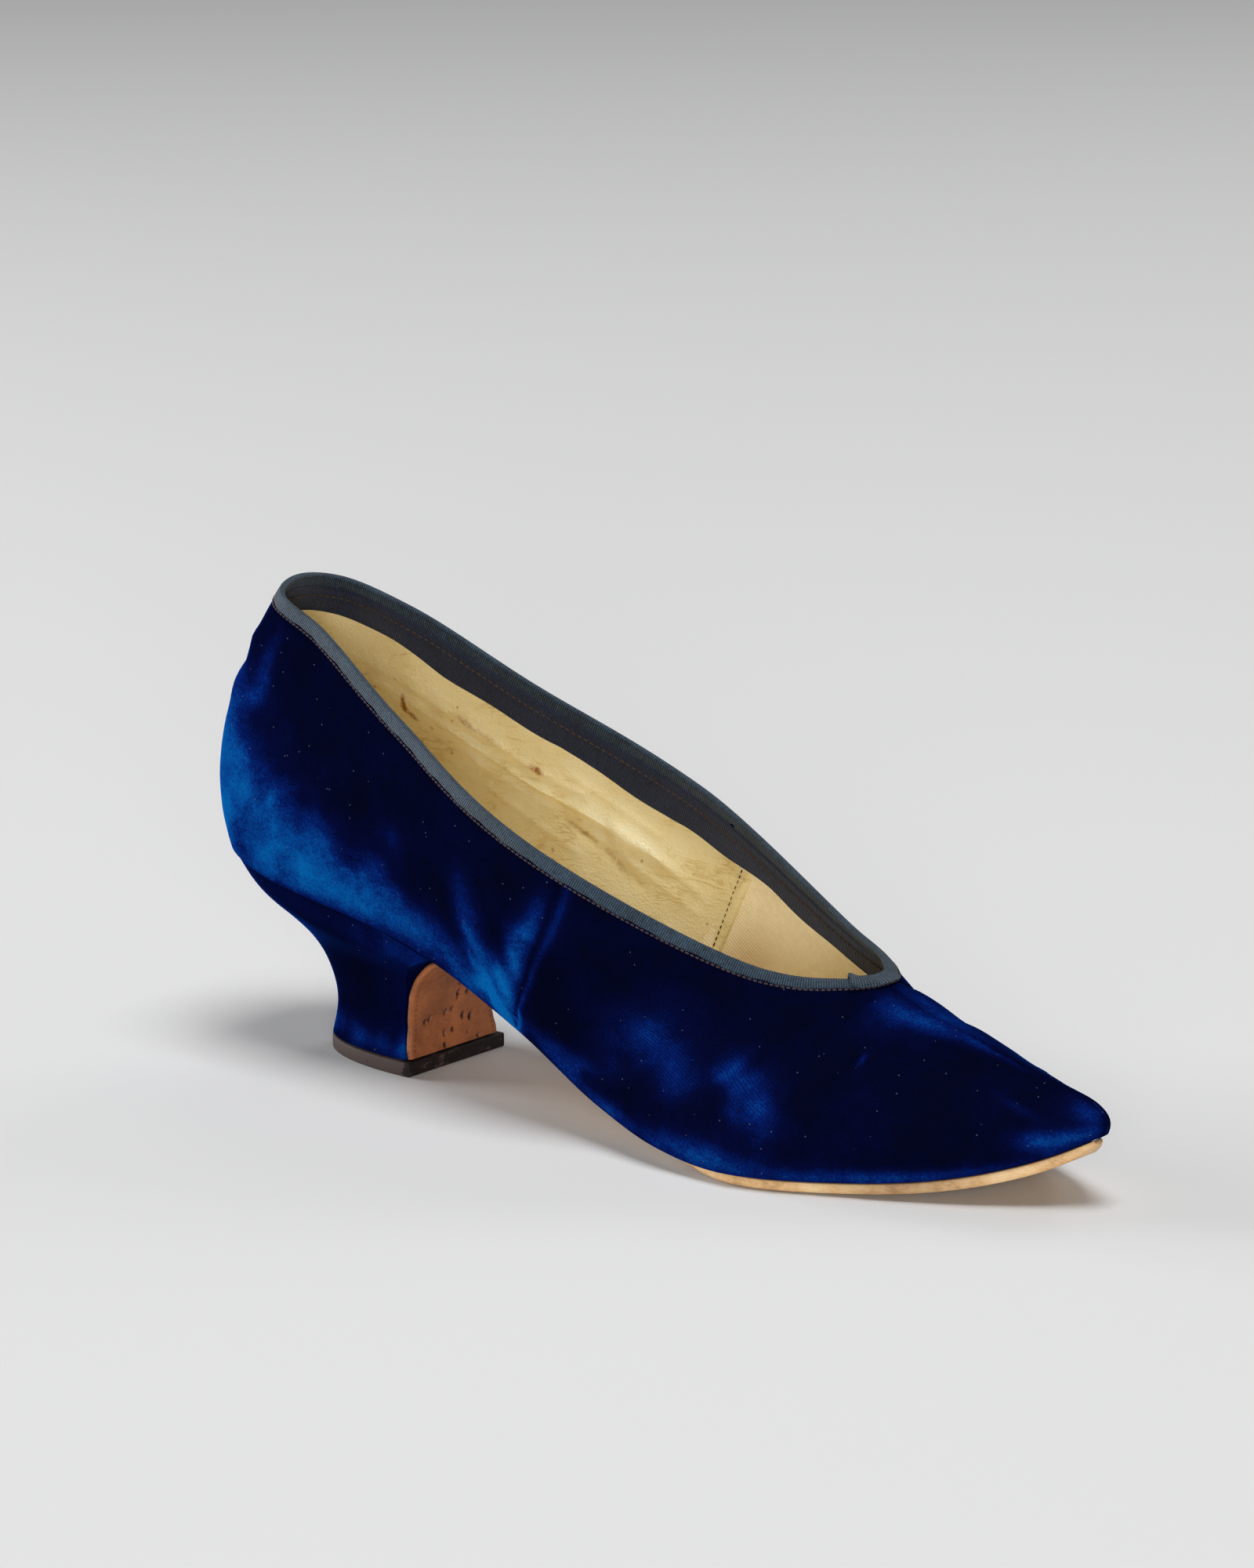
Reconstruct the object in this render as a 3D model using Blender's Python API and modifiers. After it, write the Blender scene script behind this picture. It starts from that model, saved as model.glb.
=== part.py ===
"""Velvet court shoe with a waisted heel: a right shoe, in metres, +X to the toe and +Z up.

The shoe is worked out in its own frame, with the back of the counter at x = 0, the centre plane at
y = 0 and the floor at z = 0. An empty then brings the middle of its bounding box to the origin.
The outer (little toe) side is -Y and the inner (big toe) side is +Y.
"""
import bpy
import bmesh
import numpy as np
from mathutils import Vector
from mathutils.bvhtree import BVHTree

# Driving dimensions
LENGTH = 0.248            # back of the counter to the toe tip
BALL_WIDTH = 0.071        # outer to inner feather line at the ball
SEAT_HEIGHT = 0.0484      # heel seat above the floor, at the back seam
BACK_HEIGHT = 0.1125      # top of the upper above the floor, at the back seam
MIDDLE_OF_LENGTH = 0.1235   # x of the middle of the bounding box
MIDDLE_OF_WIDTH = -0.0024   # y of the middle of the bounding box

# Thicknesses and clearances
WALL = 0.0018             # velvet, interlining and lining together
GAP = 0.0003              # clearance between neighbouring pieces
INSOLE_THICK = 0.0020
BINDING_THICK = 0.0008    # folded ribbon over the collar edge
BINDING_OUTSIDE = 0.0043  # how far the ribbon reaches down the velvet
BINDING_INSIDE = 0.0050   # how far it reaches down the lining
BINDING_SEEK = 0.0024     # its legs are sought on the upper from this far off
BINDING_LIP = 0.0008      # depth at which the fold ends and its two legs begin
FOLD_OUTER = 0.8          # corners of the fold, as shares of half the wall
FOLD_INNER = 1.2
LIFT_THICK = 0.0034
LIFT_LENGTH = 0.0352
LIFT_WIDTH = 0.0352
LIFT_FRONT = 0.0614       # front edge of the top lift, from the back of the counter
LIFT_SQUARENESS = 2.1
SOLE_JOIN = 0.078         # from here forward the sole lies against the upper
SOLE_END_WIDTH = 0.0015   # half width at which the pointed ends of the soles stop
WELD = 0.00002
CRISP_ANGLE = np.radians(40.0)   # edges sharper than this are shaded as edges

# The last, a row for each section from the back seam to the toe tip.
# Feather line: along is a share of LENGTH, outer and inner of BALL_WIDTH, bed of SEAT_HEIGHT.
# Collar, and from the throat on the ridge of the vamp: top_along, top_outer and top_inner likewise,
# and top a share of BACK_HEIGHT.
# Wall between them: belly and shoulder push it outwards (shares of BALL_WIDTH), stand and drop
# say how high on the wall they act, and lead turns the shoulder towards the toe.
LAST_COLUMNS = ("along", "outer", "inner", "bed", "top_along", "top_outer", "top_inner", "top",
                "belly", "stand", "shoulder", "drop", "lead")
LAST_SECTIONS = (
    (0.004, 0.000, 0.000, 1.000, 0.054, 0.000, 0.000, 0.984, 0.080, 0.36, 0.13, 0.28, -1.00),
    (0.028, 0.250, 0.250, 0.990, 0.070, 0.158, 0.150, 0.969, 0.098, 0.36, 0.15, 0.28, -0.75),
    (0.120, 0.366, 0.366, 0.888, 0.138, 0.230, 0.228, 0.916, 0.086, 0.34, 0.07, 0.30, -0.10),
    (0.266, 0.352, 0.344, 0.724, 0.260, 0.340, 0.344, 0.776, 0.100, 0.34, 0.06, 0.30, 0.00),
    (0.415, 0.392, 0.365, 0.434, 0.436, 0.456, 0.470, 0.597, 0.112, 0.34, 0.06, 0.28, 0.05),
    (0.528, 0.470, 0.408, 0.194, 0.670, 0.246, 0.276, 0.388, 0.085, 0.38, 0.11, 0.20, 0.45),
    (0.612, 0.542, 0.426, 0.096, 0.728, 0.110, 0.124, 0.373, 0.060, 0.44, 0.16, 0.15, 0.65),
    (0.686, 0.566, 0.434, 0.061, 0.746, 0.000, 0.000, 0.370, 0.050, 0.48, 0.21, 0.08, 0.70),
    (0.802, 0.428, 0.372, 0.073, 0.822, 0.000, 0.000, 0.310, 0.038, 0.50, 0.17, 0.00, 0.00),
    (0.911, 0.234, 0.222, 0.157, 0.895, 0.000, 0.000, 0.251, 0.032, 0.55, 0.11, 0.00, 0.00),
    (0.968, 0.096, 0.096, 0.262, 0.948, 0.000, 0.000, 0.222, 0.028, 0.55, 0.06, 0.00, 0.50),
    (0.997, 0.000, 0.000, 0.345, 0.970, 0.000, 0.000, 0.211, 0.028, 0.55, 0.06, 0.00, 1.00),
)
LAST_SCALES = {"along": LENGTH, "outer": BALL_WIDTH, "inner": BALL_WIDTH, "bed": SEAT_HEIGHT,
               "top_along": LENGTH, "top_outer": BALL_WIDTH, "top_inner": BALL_WIDTH,
               "top": BACK_HEIGHT, "belly": BALL_WIDTH, "shoulder": BALL_WIDTH}
THROAT = 7                # row of the throat, where the collar meets the ridge of the vamp
STATIONS = (4, 4, 5, 5, 5, 5, 5, 4, 4, 3, 3)   # steps between one row of the last and the next
WALL_STEPS = 10
LEVEL_AT_ENDS = ("along", "bed", "top_along", "top")
TOP_LINE = ("top_along", "top_outer", "top_inner", "top")

# The heel below its seat: back and front edge of each section, its half width and how square it is.
HEEL_COLUMNS = ("back", "back_height", "front", "front_height", "half", "square")
HEEL_SECTIONS = (
    (0.0070, 0.0396, 0.0672, 0.0296, 0.0241, 3.0),
    (0.0134, 0.0340, 0.0632, 0.0262, 0.0205, 2.6),
    (0.0198, 0.0278, 0.0606, 0.0228, 0.0172, 2.3),
    (0.0250, 0.0210, 0.0590, 0.0178, 0.0157, 2.2),
    (0.0276, 0.0122, 0.0580, 0.0108, 0.0150, 2.1),
    (0.0264, LIFT_THICK + GAP, 0.0590, LIFT_THICK + GAP, 0.0164, 2.1),
)
HEEL_SEAT_FRONT = 0.0735  # tip of the heel under the waist
HEEL_SEAT_SQUARENESS = 3.4
HEEL_STEPS = 15           # sections of the lofted heel
HEEL_POINTS = 27          # points around each section

# The outsole: how far its edge is tucked under the upper, and its thickness.
SOLE_COLUMNS = ("along", "tuck", "thick")
SOLE_SECTIONS = (
    (0.000, 0.0010, 0.0015),
    (0.310, 0.0010, 0.0015),
    (0.415, 0.0060, 0.0016),
    (0.530, 0.0060, 0.0019),
    (0.610, 0.0045, 0.0022),
    (0.690, 0.0014, 0.0027),
    (0.800, 0.0004, 0.0027),
    (0.910, 0.0004, 0.0026),
    (0.965, 0.0010, 0.0022),
    (1.000, 0.0024, 0.0014),
)

# Colours as sRGB, with roughness
FINISHES = {
    "upper": ("navy_velvet", "07103C", 0.85),
    "heel": ("heel_velvet", "060E36", 0.85),
    "collar_binding": ("slate_ribbon", "34485A", 0.75),
    "insole": ("cream_kid", "D9C384", 0.55),
    "outsole": ("tan_sole_leather", "C29A66", 0.60),
    "top_lift": ("brown_lift_leather", "4A3830", 0.70),
}


def columns_of(names, rows, scales):
    """Read a table into one array for each named column, in metres."""
    values = np.array(rows)
    return {name: values[:, i] * scales.get(name, 1.0) for i, name in enumerate(names)}


def smooth(at, knots, values, level_ends=False):
    """Cubic through the values that never overshoots them; level_ends flattens both ends."""
    step = np.diff(knots)
    rise = np.diff(values) / step
    slope = np.concatenate(([rise[0]], np.zeros(len(rise) - 1), [rise[-1]]))
    inner = (rise[:-1] * step[1:] + rise[1:] * step[:-1]) / (step[:-1] + step[1:])
    limit = 3.0 * np.minimum(abs(rise[:-1]), abs(rise[1:]))
    slope[1:-1] = np.where(rise[:-1] * rise[1:] > 0.0, np.clip(inner, -limit, limit), 0.0)
    if level_ends:
        slope[[0, -1]] = 0.0
    k = np.clip(np.searchsorted(knots, at, side="right") - 1, 0, len(knots) - 2)
    u = (at - knots[k]) / step[k]
    return ((1 + 2 * u) * (1 - u) ** 2 * values[k] + u * (1 - u) ** 2 * step[k] * slope[k]
            + u * u * (3 - 2 * u) * values[k + 1] + u * u * (u - 1) * step[k] * slope[k + 1])


LAST = columns_of(LAST_COLUMNS, LAST_SECTIONS, LAST_SCALES)
HEEL = columns_of(HEEL_COLUMNS, HEEL_SECTIONS, {})
SOLE = columns_of(SOLE_COLUMNS, SOLE_SECTIONS, {"along": LENGTH})


def last_girths():
    """Distance of each row of the last from the back seam, along the feather line."""
    half = (LAST["outer"] + LAST["inner"]) / 2
    steps = np.hypot(np.hypot(np.diff(LAST["along"]), np.diff(half)), np.diff(LAST["bed"]))
    return np.concatenate(([0.0], np.cumsum(steps)))


def last_stations():
    """Stations along the feather line, a few between each row of the last and the next."""
    girths = last_girths()
    runs = [np.linspace(girths[i], girths[i + 1], n, endpoint=False) for i, n in enumerate(STATIONS)]
    return np.concatenate(runs + [girths[-1:]])


def last_at(stations):
    """Every column of the last, read at the stations; the collar and the ridge are curves apart."""
    girths = last_girths()
    read = {}
    for name in LAST_COLUMNS:
        level = name in LEVEL_AT_ENDS
        if name in TOP_LINE:
            collar = smooth(stations, girths[:THROAT + 1], LAST[name][:THROAT + 1], level)
            ridge = smooth(stations, girths[THROAT:], LAST[name][THROAT:], level)
            read[name] = np.where(stations < girths[THROAT], collar, ridge)
        else:
            read[name] = smooth(stations, girths, LAST[name], level)
    return read


def feather(side, stations):
    """Feather line of one side (-1 outer, +1 inner) and its outward normal in plan."""
    last = last_at(stations)
    half = last["outer"] if side < 0 else last["inner"]
    line = np.stack((last["along"], side * half, last["bed"]), axis=1)
    run = np.gradient(line[:, :2], axis=0)
    out = np.stack((-side * run[:, 1], side * run[:, 0], np.zeros(len(run))), axis=1)
    out /= np.linalg.norm(out, axis=1, keepdims=True)
    out[0] = (-1.0, 0.0, 0.0)
    out[-1] = (1.0, 0.0, 0.0)
    return line, out


def wall(side):
    """Outer surface of one side of the upper: a grid of stations by steps up the wall."""
    stations = last_stations()
    last = last_at(stations)
    foot, out = feather(side, stations)
    half = last["top_outer"] if side < 0 else last["top_inner"]
    top = np.stack((last["top_along"], side * half, last["top"]), axis=1)
    lead = last["lead"]
    turned = np.stack((lead, side * np.sqrt(np.clip(1.0 - lead ** 2, 0.0, 1.0)), 0.0 * lead), axis=1)
    up = np.array((0.0, 0.0, 1.0)) * (top[:, 2] - foot[:, 2])[:, None]
    lower = foot + out * last["belly"][:, None] + up * last["stand"][:, None]
    upper = top + turned * last["shoulder"][:, None] - up * last["drop"][:, None]
    v = np.linspace(0.0, 1.0, WALL_STEPS + 1)[None, :, None]
    return ((1 - v) ** 3 * foot[:, None] + 3 * v * (1 - v) ** 2 * lower[:, None]
            + 3 * v * v * (1 - v) * upper[:, None] + v ** 3 * top[:, None])


def bed_height(x):
    """Height of the feather line above the floor at x."""
    last = last_at(last_stations())
    return np.interp(x, last["along"], last["bed"])


def half_width(side, x):
    """Half width of the feather line at x."""
    last = last_at(last_stations())
    return np.interp(x, last["along"], last["outer"] if side < 0 else last["inner"])


def new_object(name, bm):
    """A mesh object from a bmesh, with its own material, smooth but for its crisp edges."""
    bmesh.ops.remove_doubles(bm, verts=bm.verts, dist=WELD)
    mesh = bpy.data.meshes.new(name)
    bm.to_mesh(mesh)
    bm.free()
    mesh.shade_smooth()
    mesh.set_sharp_from_angle(angle=CRISP_ANGLE)
    piece = bpy.data.objects.new(name, mesh)
    mesh.materials.append(new_material(*FINISHES[name]))
    return piece


def new_material(name, colour, roughness):
    """Principled material from an sRGB colour and a roughness."""
    srgb = [int(colour[i:i + 2], 16) / 255 for i in (0, 2, 4)]
    linear = [c / 12.92 if c <= 0.04045 else ((c + 0.055) / 1.055) ** 2.4 for c in srgb]
    material = bpy.data.materials.new(name)
    material.use_nodes = True
    shader = material.node_tree.nodes["Principled BSDF"]
    shader.inputs["Base Color"].default_value = (*linear, 1.0)
    shader.inputs["Roughness"].default_value = roughness
    shader.inputs["Metallic"].default_value = 0.0
    return material


def loft(bm, rings, closed_rings=True, closed_run=False):
    """Skin a run of rings of points with quads."""
    rows = [[bm.verts.new(point) for point in ring] for ring in rings]
    last = len(rows) if closed_run else len(rows) - 1
    for i in range(last):
        a, b = rows[i], rows[(i + 1) % len(rows)]
        count = len(a) if closed_rings else len(a) - 1
        for j in range(count):
            k = (j + 1) % len(a)
            bm.faces.new((a[j], b[j], b[k], a[k]))
    return rows


def cap_across(bm, ring):
    """Close a ring with strips from one side to the other, so the cap follows its height."""
    for j in range(len(ring) // 2 - 1):
        quad = (ring[j], ring[j + 1], ring[-2 - j], ring[-1 - j])
        bm.faces.new(quad)
    if len(ring) % 2:
        middle = len(ring) // 2
        bm.faces.new((ring[middle - 1], ring[middle], ring[middle + 1]))


def build_upper():
    """Hollow upper: both sides of the last as one open surface, thickened inwards."""
    bm = bmesh.new()
    loft(bm, wall(-1), closed_rings=False)
    loft(bm, wall(1)[::-1], closed_rings=False)
    piece = new_object("upper", bm)
    shell = piece.modifiers.new("wall", "SOLIDIFY")
    shell.thickness = WALL
    shell.offset = -1.0
    shell.use_even_offset = True
    shell.thickness_clamp = 1.0
    return piece


def surface_of(piece):
    """Search tree of a piece as its modifiers leave it."""
    bpy.context.view_layer.update()
    return BVHTree.FromObject(piece, bpy.context.evaluated_depsgraph_get())


def build_binding(upper):
    """Ribbon folded over the collar: its legs follow the outside and the inside of the upper."""
    surface = surface_of(upper)
    throat = sum(STATIONS[:THROAT])
    outer, inner = wall(-1)[:throat + 1], wall(1)[:throat + 1]
    outer[throat] = (outer[throat] + inner[throat]) / 2
    around = np.concatenate((outer, inner[-2:0:-1]))
    edge = around[:, -1]
    run = np.roll(edge, -1, axis=0) - np.roll(edge, 1, axis=0)
    down = around[:, -2] - edge
    sections = [binding_section(surface, Vector(e), Vector(r), Vector(d)) for e, r, d in zip(edge, run, down)]
    bm = bmesh.new()
    loft(bm, sections, closed_run=True)
    bmesh.ops.recalc_face_normals(bm, faces=bm.faces)
    return new_object("collar_binding", bm)


def binding_section(surface, edge, run, down):
    """Closed section of the ribbon at a point of the collar edge."""
    out = down.cross(run).normalized()
    into = out.cross(run).normalized()
    if into.dot(down) < 0.0:
        into.negate()
    half = out * WALL / 2
    middle = edge - half

    def leg(depth, away, face):
        sought = middle + into * depth + face + face.normalized() * BINDING_SEEK
        point, normal, _, _ = surface.find_nearest(sought)
        return point + normal * away

    near, far = GAP, GAP + BINDING_THICK
    outer_depths = (BINDING_OUTSIDE, BINDING_OUTSIDE / 2, BINDING_LIP)
    inner_depths = (BINDING_LIP, BINDING_INSIDE / 2, BINDING_INSIDE)
    points = [leg(depth, far, half) for depth in outer_depths]
    points += [middle - into * far + half * share for share in (FOLD_OUTER, -FOLD_OUTER)]
    points += [leg(depth, far, -half) for depth in inner_depths]
    points += [leg(depth, near, -half) for depth in reversed(inner_depths)]
    points += [middle - into * near + half * share for share in (-FOLD_INNER, FOLD_INNER)]
    points += [leg(depth, near, half) for depth in reversed(outer_depths)]
    return points


def plate(name, stations):
    """Thin plate, ruled from side to side: each station gives its upper and lower edge points."""
    bm = bmesh.new()
    rows = loft(bm, stations)
    bm.faces.new(rows[0])
    bm.faces.new(rows[-1])
    bmesh.ops.recalc_face_normals(bm, faces=bm.faces)
    return new_object(name, bm)


def inside_half(surface, side, x, z):
    """Half width inside the upper at x and z, clear of its wall."""
    _, normal, _, reach = surface.ray_cast(Vector((x, 0.0, z)), Vector((0.0, side, 0.0)))
    return reach - GAP / abs(normal.y) if normal else 0.0


def build_insole(upper):
    """Insole on the bed of the last, inside the upper from the back to the toe."""
    surface = surface_of(upper)
    line, _ = feather(-1, last_stations())
    ends = LAST["along"][0] + WALL + GAP, LAST["along"][-1] - WALL - GAP
    stations = []
    for x in np.interp(line[:, 0], (line[0, 0], line[-1, 0]), ends):
        low = bed_height(x)
        high = low + INSOLE_THICK
        outer, inner = (min(inside_half(surface, side, x, z) for z in ((low + high) / 2, high))
                        for side in (-1, 1))
        if min(outer, inner) > SOLE_END_WIDTH:
            stations.append(((x, -outer, low), (x, inner, low), (x, inner, high), (x, -outer, high)))
    return plate("insole", stations)


def heel_front(steps):
    """Front edge of the heel in its centre plane and its half width, from the lift to the seat."""
    knots = np.arange(len(HEEL_SECTIONS) + 1.0)
    at = np.linspace(0.0, knots[-1], steps)
    seat_half = half_width(1, HEEL_SEAT_FRONT)
    front = np.append(HEEL["front"][::-1], HEEL_SEAT_FRONT)
    height = np.append(HEEL["front_height"][::-1], bed_height(HEEL_SEAT_FRONT) - GAP)
    half = np.append(HEEL["half"][::-1], seat_half)
    return smooth(at, knots, front), smooth(at, knots, height), smooth(at, knots, half)


def build_outsole():
    """Outsole from the foot of the heel breast up it, along the arch and out to the toe."""
    front, height, half = heel_front(HEEL_STEPS)
    breast = np.stack((front + GAP, height - GAP), axis=1)[:-1]
    tucked = [tucked_edge(side) for side in (-1, 1)]
    ahead = [(a, b) for a, b in zip(*tucked) if a[0] > SOLE_JOIN and min(-a[1], b[1]) > SOLE_END_WIDTH]
    arch = np.array([((a[0] + b[0]) / 2, (a[2] + b[2]) / 2) for a, b in ahead])
    path = np.concatenate((breast, arch))
    run = np.gradient(path, axis=0)
    outwards = np.stack((run[:, 1], -run[:, 0]), axis=1)
    outwards /= np.linalg.norm(outwards, axis=1, keepdims=True)
    lower = path + outwards * smooth(path[:, 0], SOLE["along"], SOLE["thick"])[:, None]
    lower[:, 1] = np.maximum(lower[:, 1], 0.0)
    path[0, 1] = lower[0, 1] = LIFT_THICK + GAP
    outer = np.concatenate((-half[:-1], [a[1] for a, _ in ahead]))
    inner = np.concatenate((half[:-1], [b[1] for _, b in ahead]))
    stations = [((u[0], a, u[1]), (u[0], b, u[1]), (w[0], b, w[1]), (w[0], a, w[1]))
                for u, w, a, b in zip(path, lower, outer, inner)]
    return plate("outsole", stations)


def tucked_edge(side):
    """Upper edge of the sole on one side, set in from the feather line and just below it."""
    line, out = feather(side, last_stations())
    edge = line - out * smooth(line[:, 0], SOLE["along"], SOLE["tuck"])[:, None]
    edge[:, 2] = bed_height(edge[:, 0]) - GAP
    return edge


def d_outline(squareness):
    """Unit D: 0 at the flat front to 1 at the back, and -1 to 1 across, from side to side."""
    angle = np.linspace(-np.pi / 2, np.pi / 2, HEEL_POINTS)
    along = np.cos(angle).clip(0.0) ** (2 / squareness)
    across = np.sign(angle) * abs(np.sin(angle)) ** (2 / squareness)
    return along, across


def heel_seat():
    """Top edge of the heel, which follows the feather line of the upper."""
    along, across = d_outline(HEEL_SEAT_SQUARENESS)
    back = LAST["along"][0]
    x = HEEL_SEAT_FRONT + (back - HEEL_SEAT_FRONT) * along
    y = np.where(across < 0.0, -half_width(-1, x), half_width(1, x))
    return np.stack((x, y, bed_height(x) - GAP), axis=1)


def heel_section(back, back_height, front, front_height, half, square):
    """D section of the heel on a plane that tips from its front edge to its back."""
    along, across = d_outline(square)
    return np.stack((front + (back - front) * along, half * across,
                     front_height + (back_height - front_height) * along), axis=1)


def build_heel():
    """Waisted heel: D sections lofted from the sloping seat down to the lift."""
    rows = [heel_seat()] + [heel_section(*row) for row in HEEL_SECTIONS]
    knots = np.arange(float(len(rows)))
    at = np.linspace(0.0, knots[-1], HEEL_STEPS)
    table = np.array(rows)
    sections = np.empty((HEEL_STEPS, HEEL_POINTS, 3))
    for j in range(HEEL_POINTS):
        for axis in range(3):
            sections[:, j, axis] = smooth(at, knots, table[:, j, axis])
    bm = bmesh.new()
    rings = loft(bm, sections)
    cap_across(bm, rings[0])
    cap_across(bm, rings[-1])
    bmesh.ops.recalc_face_normals(bm, faces=bm.faces)
    return new_object("heel", bm)


def build_top_lift():
    """Leather lift under the heel, flat on the floor."""
    along, across = d_outline(LIFT_SQUARENESS)
    x = LIFT_FRONT - LIFT_LENGTH * along
    y = LIFT_WIDTH / 2 * across
    rings = [np.stack((x, y, np.full(HEEL_POINTS, z)), axis=1) for z in (0.0, LIFT_THICK)]
    bm = bmesh.new()
    rows = loft(bm, rings)
    cap_across(bm, rows[0])
    cap_across(bm, rows[-1])
    bmesh.ops.recalc_face_normals(bm, faces=bm.faces)
    return new_object("top_lift", bm)


def main():
    for old in list(bpy.data.objects):
        bpy.data.objects.remove(old)
    shoe = bpy.data.collections.new("court_shoe")
    bpy.context.scene.collection.children.link(shoe)
    middle = bpy.data.objects.new("court_shoe_middle", None)
    middle.location = (-MIDDLE_OF_LENGTH, -MIDDLE_OF_WIDTH, 0.0)
    shoe.objects.link(middle)
    upper = build_upper()
    shoe.objects.link(upper)
    others = (build_binding(upper), build_insole(upper), build_outsole(), build_heel(), build_top_lift())
    for piece in others:
        shoe.objects.link(piece)
    for piece in (upper, *others):
        piece.parent = middle
    bpy.context.view_layer.update()


main()
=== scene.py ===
"""Looks of a velvet court shoe, modelled around its solids in their own frame.

Metres, +X to the toe, +Y to the inner side, +Z up. The last is the one the solids were made on: a point
of the upper is given by its girth, the distance along the feather line from the back seam (the outer
side negative), and its rise, from 0 at the feather line to 1 at the collar or the ridge of the vamp.
"""
import math

import bmesh
import bpy
import numpy as np
from bpy.props import FloatProperty, FloatVectorProperty, PointerProperty
from mathutils import Matrix, Vector, noise
from mathutils.bvhtree import BVHTree


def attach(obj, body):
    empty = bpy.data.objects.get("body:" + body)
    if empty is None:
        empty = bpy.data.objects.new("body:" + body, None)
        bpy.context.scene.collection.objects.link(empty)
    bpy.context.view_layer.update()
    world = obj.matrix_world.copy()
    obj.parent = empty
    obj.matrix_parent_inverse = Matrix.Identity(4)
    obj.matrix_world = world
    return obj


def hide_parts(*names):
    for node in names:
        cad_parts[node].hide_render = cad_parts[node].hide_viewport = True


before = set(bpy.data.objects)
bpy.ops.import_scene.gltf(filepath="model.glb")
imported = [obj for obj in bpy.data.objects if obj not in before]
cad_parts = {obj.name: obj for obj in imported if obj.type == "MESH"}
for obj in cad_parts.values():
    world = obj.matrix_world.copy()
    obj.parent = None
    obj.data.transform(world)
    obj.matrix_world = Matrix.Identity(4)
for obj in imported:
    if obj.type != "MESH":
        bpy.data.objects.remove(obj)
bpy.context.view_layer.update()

bl_info = {
    "name": "Velvet court shoe",
    "version": (1, 0, 0),
    "blender": (4, 5, 0),
    "location": "3D View > Sidebar > Shoe",
    "description": "Dresses the solids of a court shoe in velvet, ribbon, kid and leather",
    "category": "Object",
}

MM = 0.001

# The last, as the solids have it
LENGTH = 0.248
BALL_WIDTH = 0.071
SEAT_HEIGHT = 0.0484
BACK_HEIGHT = 0.1125
MIDDLE = np.array((0.1235, -0.0024, 0.0))   # middle of the shoe, measured from the back of the counter
WALL = 0.0018
GAP = 0.0003
LAST_COLUMNS = ("along", "outer", "inner", "bed", "top_along", "top_outer", "top_inner", "top",
                "belly", "stand", "shoulder", "drop", "lead")
LAST_SECTIONS = (
    (0.004, 0.000, 0.000, 1.000, 0.054, 0.000, 0.000, 0.984, 0.080, 0.36, 0.13, 0.28, -1.00),
    (0.028, 0.250, 0.250, 0.990, 0.070, 0.158, 0.150, 0.969, 0.098, 0.36, 0.15, 0.28, -0.75),
    (0.120, 0.366, 0.366, 0.888, 0.138, 0.230, 0.228, 0.916, 0.086, 0.34, 0.07, 0.30, -0.10),
    (0.266, 0.352, 0.344, 0.724, 0.260, 0.340, 0.344, 0.776, 0.100, 0.34, 0.06, 0.30, 0.00),
    (0.415, 0.392, 0.365, 0.434, 0.436, 0.456, 0.470, 0.597, 0.112, 0.34, 0.06, 0.28, 0.05),
    (0.528, 0.470, 0.408, 0.194, 0.670, 0.246, 0.276, 0.388, 0.085, 0.38, 0.11, 0.20, 0.45),
    (0.612, 0.542, 0.426, 0.096, 0.728, 0.110, 0.124, 0.373, 0.060, 0.44, 0.16, 0.15, 0.65),
    (0.686, 0.566, 0.434, 0.061, 0.746, 0.000, 0.000, 0.370, 0.050, 0.48, 0.21, 0.08, 0.70),
    (0.802, 0.428, 0.372, 0.073, 0.822, 0.000, 0.000, 0.310, 0.038, 0.50, 0.17, 0.00, 0.00),
    (0.911, 0.234, 0.222, 0.157, 0.895, 0.000, 0.000, 0.251, 0.032, 0.55, 0.11, 0.00, 0.00),
    (0.968, 0.096, 0.096, 0.262, 0.948, 0.000, 0.000, 0.222, 0.028, 0.55, 0.06, 0.00, 0.50),
    (0.997, 0.000, 0.000, 0.345, 0.970, 0.000, 0.000, 0.211, 0.028, 0.55, 0.06, 0.00, 1.00),
)
LAST_SCALES = {"along": LENGTH, "outer": BALL_WIDTH, "inner": BALL_WIDTH, "bed": SEAT_HEIGHT,
               "top_along": LENGTH, "top_outer": BALL_WIDTH, "top_inner": BALL_WIDTH,
               "top": BACK_HEIGHT, "belly": BALL_WIDTH, "shoulder": BALL_WIDTH}
THROAT_ROW = 7
LEVEL_AT_ENDS = ("along", "bed", "top_along", "top")
TOP_LINE = ("top_along", "top_outer", "top_inner", "top")

# The heel below its seat
LIFT_THICK = 0.0034
LIFT_LENGTH = 0.0352
LIFT_WIDTH = 0.0352
LIFT_FRONT = 0.0614
LIFT_SQUARENESS = 2.1
HEEL_COLUMNS = ("back", "back_height", "front", "front_height", "half", "square")
HEEL_SECTIONS = (
    (0.0070, 0.0396, 0.0672, 0.0296, 0.0241, 3.0),
    (0.0134, 0.0340, 0.0632, 0.0262, 0.0205, 2.6),
    (0.0198, 0.0278, 0.0606, 0.0228, 0.0172, 2.3),
    (0.0250, 0.0210, 0.0590, 0.0178, 0.0157, 2.2),
    (0.0276, 0.0122, 0.0580, 0.0108, 0.0150, 2.1),
    (0.0264, LIFT_THICK + GAP, 0.0590, LIFT_THICK + GAP, 0.0164, 2.1),
)
HEEL_SEAT_FRONT = 0.0735
HEEL_SEAT_SQUARENESS = 3.4
HEEL_MIDDLE = 0.042       # middle of the heel's block, from the back of the counter
HEEL_CORNERS = 0.055      # both front corners of the heel lie ahead of this

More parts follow.
